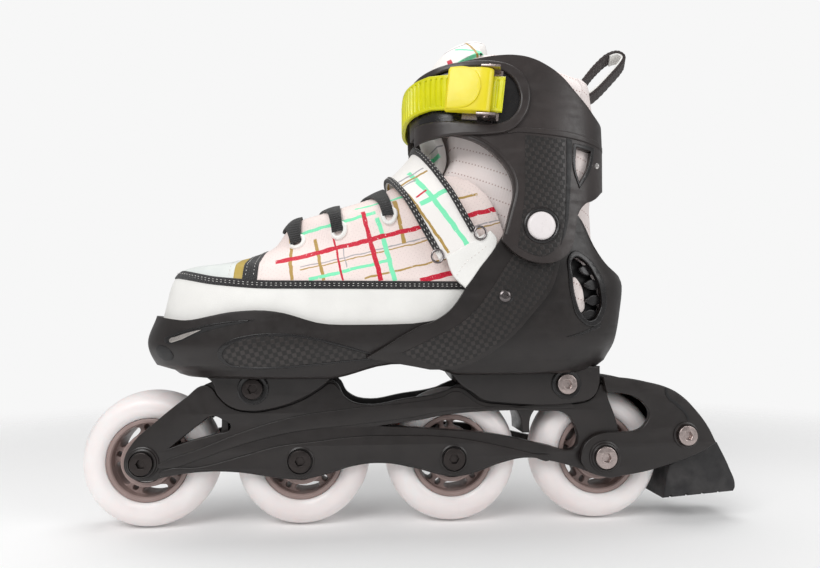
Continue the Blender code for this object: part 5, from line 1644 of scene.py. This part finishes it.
def make_liner():
    """The padded inner boot. Its collar is high at the ankle's front and falls to the heel."""
    rows = []
    for z_mid in even_steps(LINER_BOTTOM, LINER_TOP, 64):
        inset, rear = LINER_TABLE.at(z_mid)
        front = line_at(LINER_FRONT, z_mid)
        lift = 5.5 * ease((z_mid - 120) / 20) * ease((215 - z_mid) / 20)
        ring = form_ring(z_mid, 192, inset=inset, lift=lift)
        widest = max(y for _, y, _ in ring)
        row = []
        for x, y, _ in ring:
            corner = LINER_CORNER * (abs(y) / widest) ** 4
            x = min(max(x, front + corner), rear - corner)
            heel = COLLAR_HEEL_RISE * ease((x - 98) / 24) * (1 - min(abs(y) / widest, 1.0) ** 2)
            rise = (line_at(COLLAR_TOP, x) + heel - LINER_TOP) * ease((z_mid - 205) / 51)
            row.append((x, y, z_mid + rise))
        rows.append(even_ring(row, 112))
    liner = rounded(sheet("padded_liner", rows, LINER_WALL, ring=True), 2.0, 3, 50)
    finish(liner, "padding", None, ["liner"], 60)
    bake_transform(liner)
    dress(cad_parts["insole"], "felt")


TONGUE_LINE = [
    (25, 191), (29.2, 196), (28.8, 203), (25.2, 212), (23.4, 226), (25.2, 242), (31, 254.5),
    (40, 265.5), (52, 271.2), (61, 271.4)]


def make_tongue():
    """The padded tongue, domed across and turned back over the collar's front at its top."""
    line = [Vector(point) for point in spread(TONGUE_LINE, 56)]
    rows = []
    for k, point in enumerate(line):
        share_up = k / 55
        ahead = (line[min(k + 1, 55)] - line[max(k - 1, 0)]).normalized()
        crown = max(0.0, (share_up - 0.84) / 0.16)
        reach = (15 + 12 * share_up) * math.sqrt(1 - 0.5 * crown * crown)
        sag = 4.5 + 12.5 * ease((share_up - 0.3) / 0.6)
        row = []
        for step in range(29):
            share = step / 14 - 1
            drop = sag * share * share
            row.append((point.x + 0.6 + ahead.y * drop, share * reach, point.y - ahead.x * drop))
        rows.append(row)
    tongue = sheet("padded_tongue", rows, TONGUE_WALL, offset=0.6, round_rim=2.2)
    finish(tongue, "tongue", None, ["tongue"], 60)
    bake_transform(tongue)


STRAP_START = (33.5, 0.0, 163.0)
STRAP_AXIS = Vector((0.877, 0.0, 0.48)).normalized()
STRAP_UP = Vector((-0.48, 0.0, 0.877)).normalized()
STRAP_TAB = [(34.6, 140.6, 1), (57.6, 154.4, 1), (61.0, 149.6), (58.5, 143), (44.5, 124.8, 1),
             (38.6, 130.6)]
TAB_SEAM = [(40.2, 131.6), (45.0, 138.2), (52.4, 143.6), (57.4, 148.4)]


def wrap_rows(widths, angles, lift):
    """Rows over the foot along the instep strap, at distances across it and angles in radians."""
    tree = form_tree(0.0)
    rows = []
    for width in widths:
        origin = Vector(STRAP_START) + STRAP_AXIS * width
        row = []
        for angle in angles:
            ray = (STRAP_UP * math.cos(angle) + Vector((0, 1, 0)) * math.sin(angle)).normalized()
            row.append(tuple(tree.ray_cast(origin, ray)[0] + ray * lift))
        rows.append(row)
    return rows


def make_instep_strap():
    angles = [math.radians(angle) for angle in even_steps(-112, 112, 89)]
    body_angles = [math.radians(angle) for angle in even_steps(-119, 112, 89)]
    strap = sheet("strap_body", wrap_rows(even_steps(-13.5, 10.5, 15), body_angles, 0.5), 1.9,
                  round_rim=0.3)
    finish(strap, "strap", "boot", ["instep_strap"], 60)
    for name, low, high in (("lower", -13.7, -10.5), ("upper", 7.5, 10.7)):
        rows = wrap_rows(even_steps(low, high, 6), angles, 1.1)
        binding = sheet(f"strap_binding_{name}", rows, 2.4, round_rim=0.5)
        finish(binding, "binding", sharp=60)
        lines = wrap_rows([low + (high - low) * share for share in (0.28, 0.72)], angles, 3.62)
        finish(stitches(f"strap_stitches_{name}", lines, 1.5, 1.2, 0.16), "thread")
    for label, width in (("lower", -13.4), ("upper", 11.6)):
        middle = Vector(wrap_rows([width], [math.radians(-114)], 3.4)[0][0])
        points = []
        for k in range(28):
            turn = 2 * math.pi * k / 28
            points.append(middle + Vector((math.cos(turn) * 3.0, 0.0, math.sin(turn) * 3.3)))
        finish(tube(f"strap_ring_{label}", points, 0.6, True), "dark_chrome")
    tab = panel("strap_tab", [STRAP_TAB], half_width, -0.2, 2.9, OUTER, 0.5, 2.5)
    finish(tab, "white")
    line = [(x, -half_width(x, z) - 2.75, z) for x, z in spread(TAB_SEAM, 20)]
    finish(stitches("tab_stitches", [line], 1.1, 1.2, 0.18), "brass")


# a lace's end in the side view, and the X at which it crosses the middle
LACES = (((-43, 149.7), -47.5), ((-20.8, 155.5), -27.5), ((5.5, 163.2), -4.0))
EYELET_RADIUS = 3.3


def lace_row(tree, end, top_x, across):
    """One line along a lace; across runs from -4 to 4 over its width."""
    row = []
    for step in range(-24, 25):
        share = abs(step) / 24
        half = 5.2 - 2.6 * ease(share * 1.05)
        x = top_x + (end[0] - top_x) * share + half * across / 4
        reach = math.radians(lace_angle(tree, *end) * step / 24)
        ray = Vector((0.0, math.sin(reach), math.cos(reach)))
        spot = tree.ray_cast(Vector((x, 0.0, piping_height(x))), ray)[0]
        puff = 0.5 * (1 - (across / 4) ** 2) - 0.7 * ease((share - 0.85) / 0.15)
        row.append(tuple(spot + ray * puff))
    return row


def eyelet_ring(tree, end, side):
    """Points round an eyelet at a lace's end, on the upper."""
    angle = math.radians(lace_angle(tree, *end))
    ray = Vector((0.0, side * math.sin(angle), math.cos(angle)))
    down = Vector((0, side * math.cos(angle), -math.sin(angle)))
    base = Vector((end[0] + 0.4, 0.0, piping_height(end[0])))
    points = []
    for k in range(30):
        turn = 2 * math.pi * k / 30
        level = EYELET_RADIUS * math.sin(turn) - 0.6
        offset = Vector((EYELET_RADIUS * math.cos(turn), 0, 0)) + down * level
        points.append(tree.ray_cast(base + offset, ray)[0] + ray * -0.6)
    return points


def make_laces():
    tree = form_tree(2.4)
    for number, (end, top_x) in enumerate(LACES, 1):
        rows = [lace_row(tree, end, top_x, across) for across in range(-4, 5)]
        lace = sheet(f"lace_run_{number}", rows, 1.3)
        finish(lace, "lace", "boot", [f"lace_{number}"], 60)
        for side, word in SIDES:
            ring = tube(f"eyelet_{number}_{word}", eyelet_ring(tree, end, side), 1.2, True)
            finish(ring, "white")


@functools.lru_cache(maxsize=None)
def lace_angle(tree, x, z):
    """Degrees from straight up at which the form's surface comes down to a height."""
    for angle in range(85):
        if side_height(tree, x, float(angle)).z <= z + 1.0:
            return float(angle)
    return 60.0


LOOP_LINE = [
    (122.8, 238.6), (130.2, 244.0), (138.4, 252.4), (145.8, 260.9), (147.4, 265.0),
    (143.4, 267.2), (137, 264.8), (130.3, 258.6), (125.4, 252.8), (120.8, 246.8)]
LOOP_DRIFT = (-1.35, 1.15)


def loop_rows(line, lift, half, across, rib):
    """Rows across the webbing, whose near edge stands a little forward and up."""
    rows = []
    for k, (x, z) in enumerate(line):
        before, after = line[max(k - 1, 0)], line[min(k + 1, len(line) - 1)]
        ahead = Vector((after[0] - before[0], after[1] - before[1])).normalized()
        out = lift + rib * math.sin(k * 1.9)
        row = []
        for i in range(across + 1):
            share = 2 * i / across - 1
            row.append((x + ahead.y * out - LOOP_DRIFT[0] * share, half * share,
                        z - ahead.x * out - LOOP_DRIFT[1] * share))
        rows.append(row)
    return rows


def make_pull_loop():
    line = spread(LOOP_LINE, 90)
    loop = sheet("loop_webbing", loop_rows(line, 0.3, 4.5, 8, 0.14), 1.7, offset=0.0,
                 round_rim=0.35)
    finish(loop, "webbing", "cuff", ["pull_loop"], 60)
    lining = sheet("loop_lining", loop_rows(line[3:58], -1.1, 4.6, 6, 0.0), 0.9, offset=0.0,
                   round_rim=0.2)
    finish(lining, "white", "cuff", sharp=60)


make_camera()
make_floor()
make_world()
for light_row in LIGHTS:
    area_light(*light_row)
LOOKS = make_looks()
for wheel_number, wheel_x in enumerate(WHEEL_X, 1):
    make_wheel(wheel_number, wheel_x)
make_axles()
make_frame()
make_brake()
make_shell()
make_block_bolts()
make_arms()
make_cuff()
make_buckle()
make_ladder_strap()
make_upper()
make_liner()
make_tongue()
make_instep_strap()
make_laces()
make_pull_loop()
